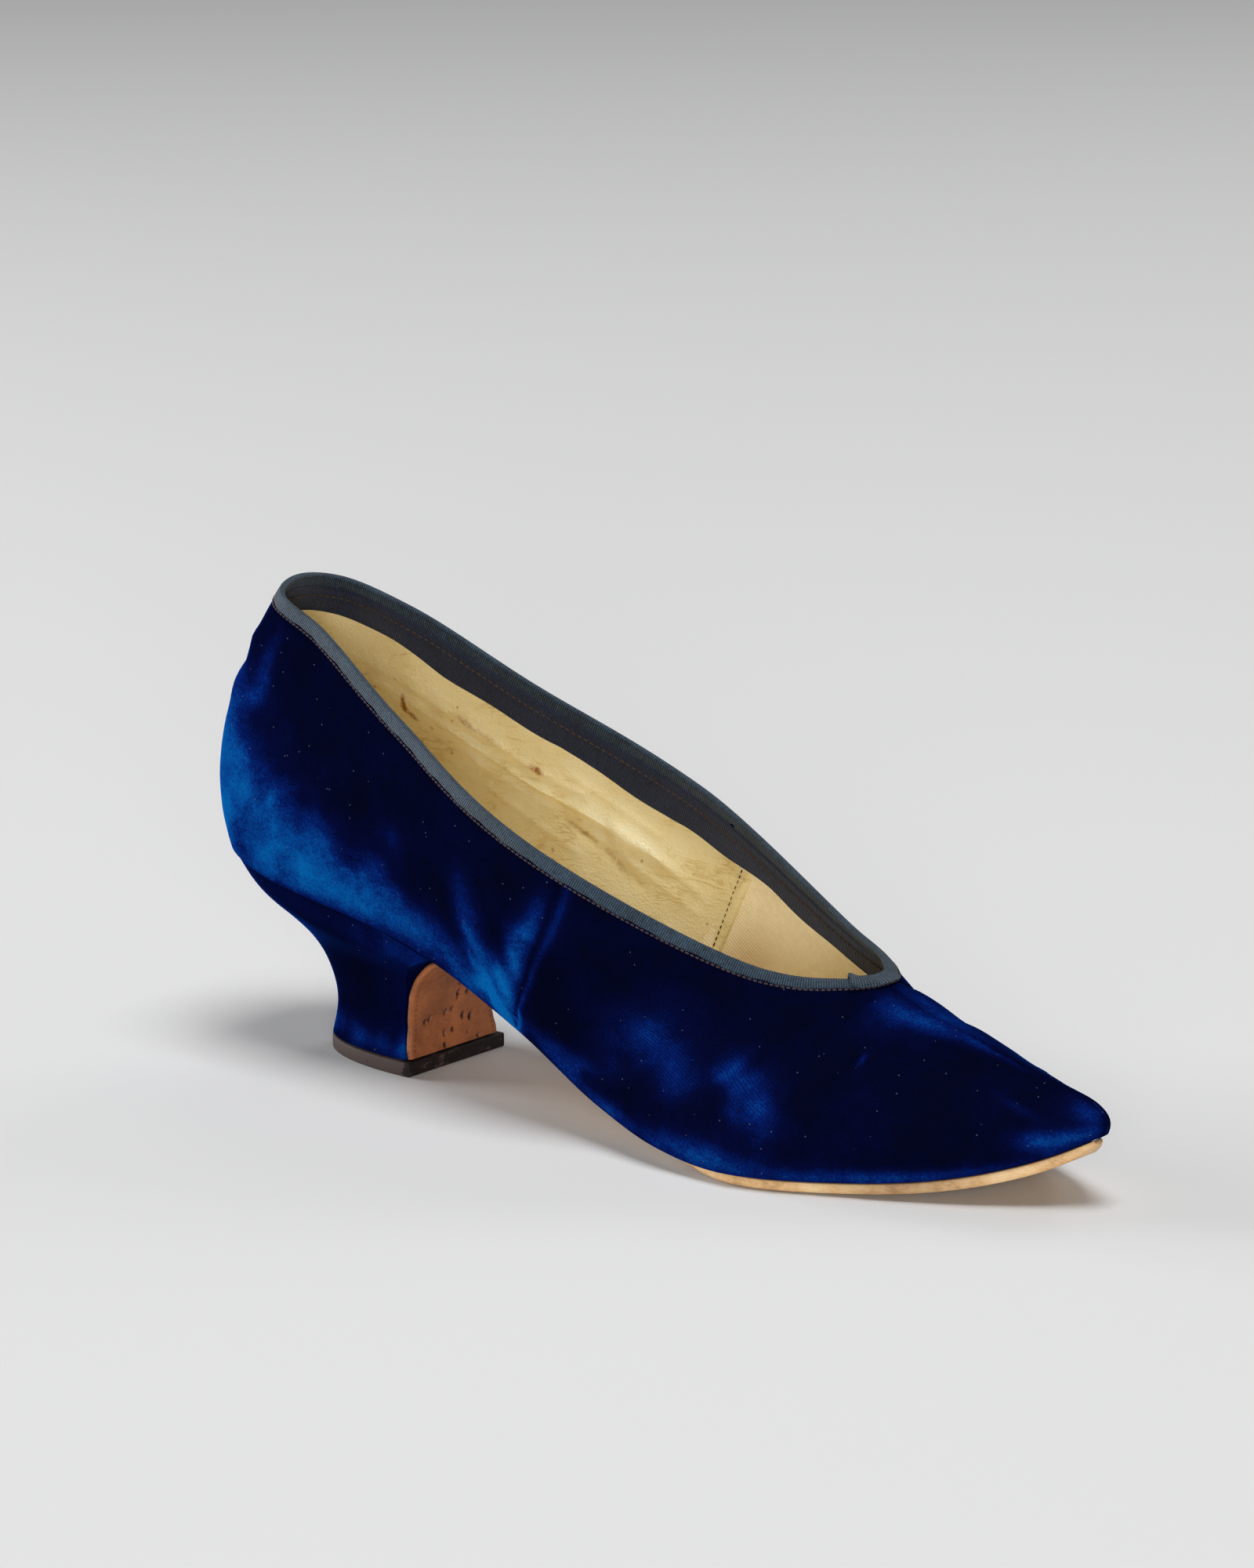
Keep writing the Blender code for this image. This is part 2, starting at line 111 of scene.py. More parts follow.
# The outsole: tuck under the upper and thickness
SOLE_COLUMNS = ("along", "tuck", "thick")
SOLE_SECTIONS = (
    (0.000, 0.0010, 0.0015),
    (0.310, 0.0010, 0.0015),
    (0.415, 0.0060, 0.0013),
    (0.530, 0.0060, 0.0013),
    (0.610, 0.0040, 0.0017),
    (0.690, 0.0012, 0.0026),
    (0.800, 0.0003, 0.0027),
    (0.910, 0.0003, 0.0028),
    (0.955, 0.0004, 0.0027),
    (0.975, 0.0007, 0.0021),
    (0.986, 0.0011, 0.0013),
    (1.000, 0.0016, 0.0004),
)
SOLE_EDGE = ((0.9, 0.0), (0.35, 0.04), (0.08, 0.18), (0.0, 0.42), (0.1, 0.72), (0.4, 0.92))   # inset, depth
SOLE_JOIN = 0.078
FLAP_HALF = 0.0158        # half width of the leather down the front of the heel

# Side seam of the velvet: its girth in millimetres at each rise
SEAM_COLUMNS = ("rise", "girth")
SEAM_LINE = ((0.00, 119.0), (0.20, 123.2), (0.35, 125.2), (0.62, 126.0), (1.00, 126.0))
LINING_SEAM = ((0.00, 132.4), (0.28, 131.4), (0.57, 130.4), (0.75, 130.4), (1.00, 129.4))

# Brushed and crushed places of the velvet, and painted highlights of its sheen round the back, along the foot
# of the wall and along the ridge of the vamp: girth, half length and half height in millimetres, rise as a
# share of the wall, slant in degrees, the nap column how bright the pile is, from brushing in some places and
# from painted sheen in others, crush how far the ground shows.
NAP_COLUMNS = ("girth", "rise", "length", "height", "slant", "nap", "crush")
NAP_AND_SHEEN_PATCHES = (
    (-20.0, 0.42, 10.0, 15.0, 0.0, 0.53, 0.0),
    (-20.0, 0.12, 13.0, 8.0, 0.0, 0.46, 0.0),
    (-34.0, 0.32, 11.0, 9.0, -30.0, 0.34, 0.0),
    (-41.0, 0.12, 13.0, 7.0, 0.0, 0.30, 0.0),
    (-53.0, 0.24, 11.0, 8.0, -10.0, 0.38, 0.0),
    (-62.0, 0.09, 15.0, 6.0, 0.0, 0.58, 0.0),
    (-76.0, 0.26, 6.0, 6.0, 0.0, 0.26, 0.0),
    (-86.0, 0.13, 13.0, 7.0, 0.0, 0.42, 0.0),
    (-101.0, 0.15, 9.0, 7.0, 10.0, 0.30, 0.0),
    (-105.0, 0.04, 8.0, 3.0, 0.0, 0.26, 0.0),
    (-29.0, 0.76, 2.2, 8.0, 0.0, 0.22, 0.0),
    (-8.0, 0.84, 7.0, 5.0, 0.0, 0.20, 0.0),
    (-81.0, 0.49, 4.5, 4.0, 0.0, 0.17, 0.0),
    (-109.0, 0.44, 4.5, 9.0, -12.0, 0.33, 0.0),
    (-112.0, 0.26, 4.0, 6.0, 0.0, 0.22, 0.0),
    (-124.6, 0.66, 1.8, 9.0, 0.0, 0.30, 0.3),
    (-122.6, 0.42, 2.6, 8.0, -8.0, 0.54, 0.3),
    (-119.6, 0.22, 3.0, 7.0, -14.0, 0.84, 0.2),
    (-116.4, 0.06, 3.6, 7.0, -20.0, 1.25, 0.0),
    (-134.0, 0.07, 11.0, 4.5, 0.0, 0.27, 0.0),
    (-143.0, 0.17, 9.0, 3.0, -18.0, 0.20, 0.0),
    (-158.0, 0.04, 14.0, 3.0, 0.0, 0.33, 0.0),
    (-146.0, 0.48, 5.5, 7.5, 0.0, 0.17, 1.0),
    (-155.0, 0.40, 8.5, 5.5, 25.0, 0.20, 1.0),
    (-167.0, 0.31, 8.0, 3.6, 20.0, 0.22, 1.0),
    (-173.0, 0.44, 5.0, 3.0, 20.0, 0.24, 1.0),
    (-184.0, 0.37, 8.0, 3.8, 24.0, 0.32, 1.0),
    (-195.0, 0.28, 7.0, 3.8, 24.0, 0.33, 1.0),
    (-186.0, 0.05, 14.0, 4.0, 0.0, 0.37, 0.0),
    (-226.0, 0.02, 34.0, 2.4, 0.0, 0.38, 0.0),
    (-211.0, 0.565, 0.8, 2.4, -18.0, 0.32, 0.0),
    (-206.0, 0.86, 12.0, 8.0, 0.0, 0.24, 0.0),
    (-222.0, 0.90, 14.0, 3.5, -6.0, 0.30, 0.0),
    (-238.0, 0.98, 18.0, 3.0, 0.0, 0.30, 0.0),
    (-257.0, 0.50, 8.0, 2.0, 42.0, 0.16, 0.0),
    (-262.0, 0.20, 6.0, 6.0, 20.0, 0.28, 0.0),
    (-270.0, 0.14, 7.0, 7.0, 0.0, 0.43, 0.0),
    (-275.0, 0.50, 5.0, 18.0, 0.0, 0.30, 0.0),
    (16.0, 0.34, 12.0, 14.0, 0.0, 0.50, 0.0),
    (40.0, 0.14, 16.0, 8.0, 0.0, 0.46, 0.0),
    (66.0, 0.12, 16.0, 7.0, 0.0, 0.40, 0.0),
    (92.0, 0.18, 14.0, 8.0, 0.0, 0.32, 0.0),
    (109.0, 0.44, 5.0, 9.0, 12.0, 0.28, 0.0),
    (122.0, 0.44, 2.6, 10.0, 8.0, 0.40, 0.3),
    (117.0, 0.12, 4.0, 8.0, 16.0, 0.52, 0.1),
    (136.0, 0.08, 12.0, 5.0, 0.0, 0.26, 0.0),
    (154.0, 0.42, 9.0, 6.0, -25.0, 0.26, 1.0),
    (184.0, 0.36, 10.0, 4.0, -24.0, 0.26, 0.8),
    (206.0, 0.90, 12.0, 8.0, 0.0, 0.22, 0.0),
    (226.0, 0.94, 20.0, 5.0, 0.0, 0.24, 0.0),
    (226.0, 0.02, 34.0, 2.4, 0.0, 0.28, 0.0),
    (264.0, 0.40, 5.0, 8.0, 0.0, 0.28, 0.0),
    (275.0, 0.55, 4.0, 16.0, 0.0, 0.30, 0.0),
)

# Creases: from girth and rise to girth and rise, height in millimetres (a trough is negative) and width.
CREASE_COLUMNS = ("girth", "rise", "to_girth", "to_rise", "height", "width")
VELVET_CREASES = (
    (-16.0, 0.73, 14.0, 0.75, -0.90, 1.8),
    (-22.0, 0.80, -8.0, 0.79, 0.45, 1.6),
    (-30.0, 0.66, -10.0, 0.72, -0.40, 2.2),
    (10.0, 0.71, 32.0, 0.64, -0.40, 2.2),
    (-30.0, 0.58, -6.0, 0.62, 0.30, 2.4),
    (-121.0, 0.06, -142.0, 0.20, -0.55, 2.6),
    (-124.0, 0.16, -140.0, 0.24, 0.45, 2.4),
    (-150.0, 0.58, -176.0, 0.40, -0.50, 3.4),
    (-170.0, 0.55, -176.0, 0.26, -0.55, 3.2),
    (-208.0, 0.61, -211.0, 0.53, -0.55, 0.9),
    (-246.0, 0.62, -262.0, 0.50, 0.40, 2.0),
    (-262.0, 0.70, -266.0, 0.40, -0.35, 1.4),
    (-268.0, 0.66, -271.0, 0.30, 0.30, 1.2),
    (-100.0, 0.55, -116.0, 0.34, 0.40, 3.4),
    (-60.0, 0.80, -92.0, 0.56, -0.25, 4.0),
    (120.0, 0.08, 142.0, 0.20, -0.50, 2.6),
    (150.0, 0.60, 178.0, 0.40, -0.50, 3.4),
    (60.0, 0.70, 96.0, 0.50, -0.30, 4.0),
    (248.0, 0.60, 264.0, 0.46, 0.40, 2.0),
    (268.0, 0.64, 271.0, 0.30, -0.30, 1.2),
)
KID_CREASES = (
    (18.0, 0.665, 40.0, 0.640, 0.40, 0.9),
    (40.0, 0.640, 60.0, 0.605, 0.55, 1.0),
    (60.0, 0.605, 80.0, 0.575, 0.65, 1.2),
    (80.0, 0.575, 94.0, 0.590, 0.40, 1.2),
    (22.0, 0.600, 50.0, 0.545, 0.50, 0.9),
    (50.0, 0.545, 72.0, 0.500, 0.70, 1.1),
    (72.0, 0.500, 88.0, 0.490, 0.75, 1.1),
    (88.0, 0.490, 106.0, 0.500, 0.60, 1.4),
    (84.0, 0.475, 100.0, 0.450, -0.60, 1.3),
    (100.0, 0.450, 109.0, 0.500, 0.55, 1.3),
    (109.0, 0.500, 124.0, 0.460, 0.40, 1.2),
    (87.0, 0.410, 96.0, 0.390, -0.70, 1.1),
    (96.0, 0.390, 104.0, 0.410, -0.45, 1.1),
    (98.0, 0.380, 111.0, 0.320, -0.50, 1.8),
    (100.0, 0.530, 116.0, 0.490, 0.70, 2.4),
    (30.0, 0.690, 66.0, 0.650, 0.35, 0.8),
    (44.0, 0.570, 66.0, 0.545, -0.40, 0.7),
    (34.0, 0.490, 60.0, 0.420, -0.35, 0.8),
    (58.0, 0.455, 84.0, 0.430, 0.45, 1.0),
    (64.0, 0.360, 92.0, 0.300, 0.35, 1.0),
    (88.0, 0.650, 112.0, 0.600, 0.35, 1.3),
    (104.0, 0.400, 124.0, 0.370, 0.35, 1.1),
    (-20.0, 0.580, -52.0, 0.520, 0.55, 1.1),
    (-52.0, 0.520, -96.0, 0.440, 0.60, 1.2),
    (-60.0, 0.380, -110.0, 0.300, -0.50, 1.2),
)

# Marks on the kid: girth, half length and half height in millimetres, rise as a share of the wall, slant in
# degrees, stain how dark it is, gloss how far it is rubbed to a shine and painted lighter as a highlight.
STAIN_COLUMNS = ("girth", "rise", "length", "height", "slant", "stain", "gloss")
KID_MARKS = (
    (38.0, 0.550, 0.8, 2.4, -12.0, 1.00, 0.0),
    (40.0, 0.505, 2.6, 0.9, -20.0, 1.00, 0.0),
    (46.0, 0.490, 1.2, 0.6, 0.0, 0.80, 0.0),
    (52.0, 0.425, 0.5, 0.8, 0.0, 0.80, 0.0),
    (79.5, 0.580, 2.6, 1.0, 0.0, 0.95, 0.0),
    (66.0, 0.600, 8.0, 1.3, -6.0, 0.50, 0.0),
    (56.0, 0.620, 6.0, 1.2, -6.0, 0.40, 0.0),
    (76.0, 0.500, 12.0, 1.2, -3.0, 0.36, 0.0),
    (92.0, 0.400, 6.0, 0.9, -8.0, 0.55, 0.0),
    (84.0, 0.245, 1.0, 0.9, 0.0, 0.70, 0.0),
    (103.0, 0.350, 6.0, 1.6, -30.0, 0.50, 0.0),
    (124.0, 0.560, 3.0, 6.0, 0.0, 0.28, 0.0),
    (92.0, 0.550, 7.0, 3.0, -8.0, 0.0, 0.9),
    (108.0, 0.510, 8.0, 3.0, 10.0, 0.0, 1.0),
    (99.0, 0.425, 6.0, 1.4, -6.0, 0.0, 1.0),
    (74.0, 0.440, 12.0, 2.5, -6.0, 0.0, 0.5),
    (98.0, 0.240, 9.0, 3.0, 0.0, 0.0, 0.6),
)

# Depth of the ribbon facing below the collar, in millimetres, at girths from the back seam to the throat
FACING_COLUMNS = ("girth", "depth")
FACING_DEPTHS = ((0.0, 9.0), (15.0, 9.4), (40.0, 10.0), (60.0, 11.0), (80.0, 10.4), (92.0, 9.6),
                 (100.0, 10.4), (118.0, 11.0), (127.0, 9.8), (134.0, 8.4), (145.0, 8.6), (160.0, 8.2),
                 (175.0, 6.4), (185.0, 3.4), (191.0, 2.4))

# Worm holes in the leather on the heel: height up the leather, place across, length and width in
# millimetres, and slant in radians.
HOLE_COLUMNS = ("up", "across", "long", "wide", "slant")
WORM_HOLES = (
    (8.1, -9.9, 1.3, 1.1, 0.2),
    (8.6, -8.4, 1.5, 0.9, 0.5),
    (9.1, -2.6, 1.5, 0.9, 0.3),
    (9.5, -0.3, 1.2, 0.9, 0.1),
    (13.4, 1.4, 1.6, 1.0, 0.6),
    (12.1, 1.6, 1.5, 0.9, 0.7),
    (13.0, 4.8, 1.4, 1.2, 0.4),
    (6.8, 3.8, 1.7, 1.2, 0.2),
    (6.0, 6.5, 1.8, 1.2, 0.4),
    (3.8, -3.2, 1.4, 0.9, 0.2),
    (4.0, -0.1, 1.1, 1.1, 0.0),
    (0.9, -3.4, 1.2, 1.2, 0.3),
    (2.3, 5.1, 0.7, 0.6, 0.0),
    (0.6, 8.6, 0.8, 0.9, 0.0),
    (16.0, 1.6, 1.2, 0.9, 0.4),
)

STEP = 0.2 * MM           # step along the girth for slopes
RISE_STEP = 0.004         # step along the rise for slopes
WALL_SPAN = 0.052         # usual length of the wall, to compare rises with girths
WAIST_START = (0.066, 0.084)   # girths over which the waist of the shoe begins
WAIST_END = (0.190, 0.235)     # and ends
TOE_START = (0.225, 0.250)     # girths over which the toe begins
DIP_GIRTH = 0.2150        # girth of the dip across the instep
DIP_DEPTH = 1.6 * MM
LEAST_TUCK = 1.2 * MM     # velvet turned under the upper where the sole hides it
TOE_TUCK = 4.5 * MM       # more of it at the toe
EDGE_SKIVED = 0.9 * MM    # how much thinner the wall is under the ribbon
LINING_FOOT = 0.015       # rise at which the linings start
LINING_TOP = 0.88         # rise at which the linings end, under the facing
INSOLE_TOP = 1.95 * MM    # insole above the feather line
COLLAR_POINTS = 720       # points along the collar
LAP_NEAR = 8.8 * MM       # end of the ribbon's lap on the outer side, from the throat
LAP_FAR = 5.5 * MM        # and on the inner side
LAP_RISE = 0.75 * MM      # how far the lap stands over the ribbon
FACING_START = 2.2 * MM   # top edge of the facing below the collar
FACING_STITCHES = 4.6 * MM    # stitches of the facing below the collar
STITCH_SUNK = 0.3         # share of its thickness that a stitch sinks in
BAND_SPACING = 0.314      # metres between the bands of a Wave texture of scale 1

# Softboxes: place, target, width and power in watts
LIGHTS = {
    "overhead": ((0.3, -0.1, 2.15), (0.3, -0.1, 0.0), 1.0, 32.0),
    "left": ((-2.04, -0.44, 0.55), (0.05, 0.0, 0.03), 1.0, 33.0),
    "front": ((1.3, -1.72, 0.42), (0.05, 0.0, 0.03), 0.7, 27.0),
    "back": ((0.0, 1.85, 1.2), (0.05, 0.0, 0.03), 1.0, 7.0),
    "backdrop": ((-1.0, 1.5, 1.8), (-1.0, 1.6, 0.0), 1.0, 4.0),
}
WORLD_COLOUR = (0.80, 0.81, 0.83, 1.0)
WORLD_STRENGTH = 0.07

# The camera, worked out from the outline of the shoe
CAMERA_PLACE = (0.9950, -1.2573, 0.4706)
CAMERA_DOWN = math.radians(13.78)
CAMERA_TURN = math.radians(38.61)
CAMERA_LENS = 166.6
CAMERA_SENSOR = 36.0


def linear(code):
    """Linear colour of an sRGB hex code."""
    srgb = [int(code[i:i + 2], 16) / 255 for i in (0, 2, 4)]
    return tuple(c / 12.92 if c <= 0.04045 else ((c + 0.055) / 1.055) ** 2.4 for c in srgb)


def columns_of(names, rows, scales):
    """Read a table into one array for each named column."""
    values = np.array(rows)
    return {name: values[:, i] * scales.get(name, 1.0) for i, name in enumerate(names)}


def rows_of(names, rows, scales):
    """Read a table into one dictionary for each row."""
    return [{name: value * scales.get(name, 1.0) for name, value in zip(names, row)} for row in rows]


def run_along(points):
    """Distance along a line of points, from its first one."""
    return np.concatenate(([0.0], np.cumsum(np.linalg.norm(np.diff(points, axis=0), axis=1))))


def smooth(at, knots, values, level_ends=False):
    """Cubic through the values that never overshoots them; level_ends flattens both ends."""
    step = np.diff(knots)
    rise = np.diff(values) / step
    slope = np.concatenate(([rise[0]], np.zeros(len(rise) - 1), [rise[-1]]))
    inner = (rise[:-1] * step[1:] + rise[1:] * step[:-1]) / (step[:-1] + step[1:])
    limit = 3.0 * np.minimum(abs(rise[:-1]), abs(rise[1:]))
    slope[1:-1] = np.where(rise[:-1] * rise[1:] > 0.0, np.clip(inner, -limit, limit), 0.0)
    if level_ends:
        slope[[0, -1]] = 0.0
    k = np.clip(np.searchsorted(knots, at, side="right") - 1, 0, len(knots) - 2)
    u = (at - knots[k]) / step[k]
    return ((1 + 2 * u) * (1 - u) ** 2 * values[k] + u * (1 - u) ** 2 * step[k] * slope[k]
            + u * u * (3 - 2 * u) * values[k + 1] + u * u * (u - 1) * step[k] * slope[k + 1])


LAST = columns_of(LAST_COLUMNS, LAST_SECTIONS, LAST_SCALES)
HEEL = columns_of(HEEL_COLUMNS, HEEL_SECTIONS, {})
SOLE = columns_of(SOLE_COLUMNS, SOLE_SECTIONS, {"along": LENGTH})
SEAM = columns_of(SEAM_COLUMNS, SEAM_LINE, {"girth": MM})
KID_SEAM = columns_of(SEAM_COLUMNS, LINING_SEAM, {"girth": MM})
FACING = columns_of(FACING_COLUMNS, FACING_DEPTHS, {"girth": MM, "depth": MM})
GIRTHS = run_along(np.column_stack((LAST["along"], (LAST["outer"] + LAST["inner"]) / 2, LAST["bed"])))
THROAT = GIRTHS[THROAT_ROW]
TOE = GIRTHS[-1]


def last_at(girth):
    """Every column of the last at a girth; the collar and the ridge of the vamp are curves apart."""
    read = {}
    split = THROAT_ROW
    for name in LAST_COLUMNS:
        level = name in LEVEL_AT_ENDS
        if name in TOP_LINE:
            collar = smooth(girth, GIRTHS[:split + 1], LAST[name][:split + 1], level)
            ridge = smooth(girth, GIRTHS[split:], LAST[name][split:], level)
            read[name] = np.where(girth < THROAT, collar, ridge)
        else:
            read[name] = smooth(girth, GIRTHS, LAST[name], level)
    return read


def unit(vectors):
    """Vectors brought to length one."""
    return vectors / np.maximum(np.linalg.norm(vectors, axis=-1, keepdims=True), 1e-9)


def feather(girth):
    """Points of the feather line."""
    side = np.where(girth < 0.0, -1.0, 1.0)
    last = last_at(np.clip(abs(girth), 0.0, TOE))
    half = np.where(side < 0.0, last["outer"], last["inner"])
    return np.stack((last["along"], side * half, last["bed"]), axis=-1) - MIDDLE


def plan_normal(girth):
    """Outward normal of the feather line in plan."""
    run = feather(girth + STEP) - feather(girth - STEP)
    return unit(np.stack((-run[..., 1], run[..., 0], 0.0 * girth), axis=-1))


def wall_at(girth, rise):
    """Points on the outside of the upper."""
    side = np.where(girth < 0.0, -1.0, 1.0)
    last = last_at(np.clip(abs(girth), 0.0, TOE))
    foot = feather(girth)
    half = np.where(side < 0.0, last["top_outer"], last["top_inner"])
    top = np.stack((last["top_along"], side * half, last["top"]), axis=-1) - MIDDLE
    lead = last["lead"]
    sideways = np.stack((lead, side * np.sqrt(np.clip(1.0 - lead ** 2, 0.0, 1.0)), 0.0 * lead), axis=-1)
    up = np.array((0.0, 0.0, 1.0)) * (top[:, 2] - foot[:, 2])[:, None]
    lower = foot + plan_normal(girth) * last["belly"][:, None] + up * last["stand"][:, None]
    upper = top + sideways * last["shoulder"][:, None] - up * last["drop"][:, None]
    v = rise[:, None]
    return ((1 - v) ** 3 * foot + 3 * v * (1 - v) ** 2 * lower
            + 3 * v * v * (1 - v) * upper + v ** 3 * top)


def wall_frame(girth, rise):
    """Points on the outside of the upper and its outward normals there."""
    along = wall_at(girth + STEP, rise) - wall_at(girth - STEP, rise)
    above, below = np.minimum(rise + RISE_STEP, 1.0), np.maximum(rise - RISE_STEP, 0.0)
    up = wall_at(girth, above) - wall_at(girth, below)
    return wall_at(girth, rise), unit(np.cross(up, along))


def vamp_frame(girth, rise):
    """Wall frame whose normals are shared along the ridge and down the toe, where the two sides meet."""
    points, normals = wall_frame(girth, rise)
    joined = unit(normals + wall_frame(-girth, rise)[1])
    share = np.maximum(fade(rise, 0.84, 1.0) * (abs(girth) >= THROAT), fade(abs(girth), TOE - 0.008, TOE))
    return points, unit(normals + (joined - normals) * share[:, None])


def bed_height(x):
    """Height of the feather line at x, measured from the back of the counter."""
    last = last_at(np.linspace(0.0, TOE, 400))
    return np.interp(x, last["along"], last["bed"])


def half_width(side, x):
    """Half width of the feather line at x."""
    last = last_at(np.linspace(0.0, TOE, 400))
    return np.interp(x, last["along"], last["outer"] if side < 0 else last["inner"])


def clouds(points, size, seed=0.0):
    """Soft noise of about -1 to 1 at points, with lumps of a size."""
    return np.array([noise.noise(Vector(p) / size + Vector((seed, seed, seed))) for p in points])


def bell(distance, width):
    """Soft bump, 1 in the middle."""
    return np.exp(-(distance / width) ** 2)


def fade(value, start, end):
    """0 before start, 1 after end, smooth between."""
    t = np.clip((value - start) / (end - start), 0.0, 1.0)
    return t * t * (3.0 - 2.0 * t)


def turned(across, above, slant):
    """Distances along and off an axis that slants by an angle."""
    return (across * math.cos(slant) + above * math.sin(slant),
            above * math.cos(slant) - across * math.sin(slant))


def patches(table, columns, wanted, girth, rise, wobble):
    """Sum of the soft patches of a table in the wanted column, with wobbling edges."""
    total = 0.0 * girth
    for patch in rows_of(columns, table, {"girth": MM, "length": MM, "height": MM}):
        above = (rise - patch["rise"]) * WALL_SPAN
        long, high = turned(girth - patch["girth"], above, math.radians(patch["slant"]))
        away = (long / patch["length"]) ** 2 + (high / patch["height"]) ** 2
        total += patch[wanted] * np.exp(-away * (1.0 + wobble))
    return total


def creases(table, girth, rise, wobble, sharp=False):
    """Height of the creases of a table, each along a straight line on the wall."""
    total = 0.0 * girth
    here = np.stack((girth, rise * WALL_SPAN), axis=1)
    for crease in rows_of(CREASE_COLUMNS, table, {"girth": MM, "to_girth": MM, "height": MM, "width": MM}):
        start = np.array((crease["girth"], crease["rise"] * WALL_SPAN))
        run = np.array((crease["to_girth"], crease["to_rise"] * WALL_SPAN)) - start
        share = ((here - start) @ run) / (run @ run)
        nearest = start + np.clip(share, 0.0, 1.0)[:, None] * run
        distance = np.linalg.norm(here - nearest, axis=1) + wobble * 0.4 * MM
        ends = bell(np.maximum(abs(share - 0.5) - 0.35, 0.0), 0.22)
        width = crease["width"]
        shape = np.exp(-abs(distance) / width) if sharp else bell(distance, width)
        total += crease["height"] * shape * ends
    return total


def grid(bm, columns, rows, place, flip=False, **values):
    """Grid of columns by rows in bm, moved to place(column, row), with a float layer for each of values."""
    layers = {name: bm.verts.layers.float.get(name) or bm.verts.layers.float.new(name) for name in values}
    last_column, last_row = len(columns) - 1, len(rows) - 1
    made = bmesh.ops.create_grid(bm, x_segments=last_column, y_segments=last_row, size=1.0)["verts"]
    flat = (np.array([vert.co[:2] for vert in made]) + 1.0) / 2
    column = columns[np.rint(flat[:, 0] * last_column).astype(int)]
    row = rows[np.rint(flat[:, 1] * last_row).astype(int)]
    for vert, point in zip(made, place(column, row)):
        vert.co = point
    for name, value in values.items():
        for vert, number in zip(made, value(column, row)):
            vert[layers[name]] = number
    if flip:
        faces = {face for vert in made for face in vert.link_faces}
        bmesh.ops.reverse_faces(bm, faces=list(faces))


def ease(bm, verts, rounds):
    """Smooth vertices towards their neighbours, round after round."""
    for _ in range(rounds):
        bmesh.ops.smooth_vert(bm, verts=verts, factor=0.5, use_axis_x=True, use_axis_y=True, use_axis_z=True)


def uneven(start, end, coarse, fine, places, spread):
    """Values from start to end, coarse apart but fine apart within spread of the places."""
    at = np.linspace(start, end, 4000)
    near = np.min([abs(at - place) for place in places], axis=0)
    density = 1.0 / (fine + (coarse - fine) * fade(near, spread, 3.0 * spread))
    count = np.concatenate(([0.0], np.cumsum((density[1:] + density[:-1]) / 2 * np.diff(at))))
    return np.interp(np.linspace(0.0, count[-1], int(count[-1]) + 1), count, at)


def finish_piece(name, bm, material, replaces=(), weld=0.02 * MM, shell=0.0, crisp=50.0):
    """Object from a bmesh at the origin, with its material, riding on the shoe."""
    if weld:
        bmesh.ops.remove_doubles(bm, verts=bm.verts, dist=weld)
    mesh = bpy.data.meshes.new(name)
    bm.to_mesh(mesh)
    bm.free()
    mesh.shade_smooth()
    mesh.set_sharp_from_angle(angle=math.radians(crisp))
    mesh.materials.append(material)
    piece = bpy.data.objects.new(name, mesh)
    bpy.context.scene.collection.objects.link(piece)
    if shell:
        wall = piece.modifiers.new("thickness", "SOLIDIFY")
        wall.thickness = abs(shell)
        wall.offset = math.copysign(1.0, shell)
    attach(piece, "root")
    if replaces:
        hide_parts(*replaces)


def feed(tree, socket, source):
    """Set a socket to a value, or link it to a socket, or to a node's Fac or else its first live output."""
    if isinstance(source, bpy.types.Node):
        live = [output for output in source.outputs if output.enabled]
        source = next((output for output in live if output.name == "Fac"), live[0])
    if isinstance(source, bpy.types.NodeSocket):
        tree.links.new(source, socket)
    else:
        socket.default_value = source


def add(material, kind, sources=(), **settings):
    """Shader node of a kind in a material, with its settings and with its inputs fed from their sources."""
    tree = material.node_tree
    node = tree.nodes.new("ShaderNode" + kind)
    for name, value in settings.items():
        setattr(node, name, value)
    for socket, source in dict(sources).items():
        feed(tree, node.inputs[socket], source)
    return node


def new_material(name):
    """Node material, its shader and its Object coordinates."""
    material = bpy.data.materials.new(name)
    material.use_nodes = True
    shader = material.node_tree.nodes["Principled BSDF"]
    return material, shader, add(material, "TexCoord").outputs["Object"]


def wire(material, shader, **sources):
    """Feed sockets of the shader, named with underscores."""
    for name, source in sources.items():
        feed(material.node_tree, shader.inputs[name.replace("_", " ")], source)


def stops(ramp, *pairs):
    """Set a ramp's colours from pairs of place and linear colour."""
    elements = ramp.color_ramp.elements
    while len(elements) < len(pairs):
        elements.new(0.5)
    for element, (place, colour) in zip(elements, pairs):
        element.position = place
        element.color = (*colour, 1.0)
    return ramp


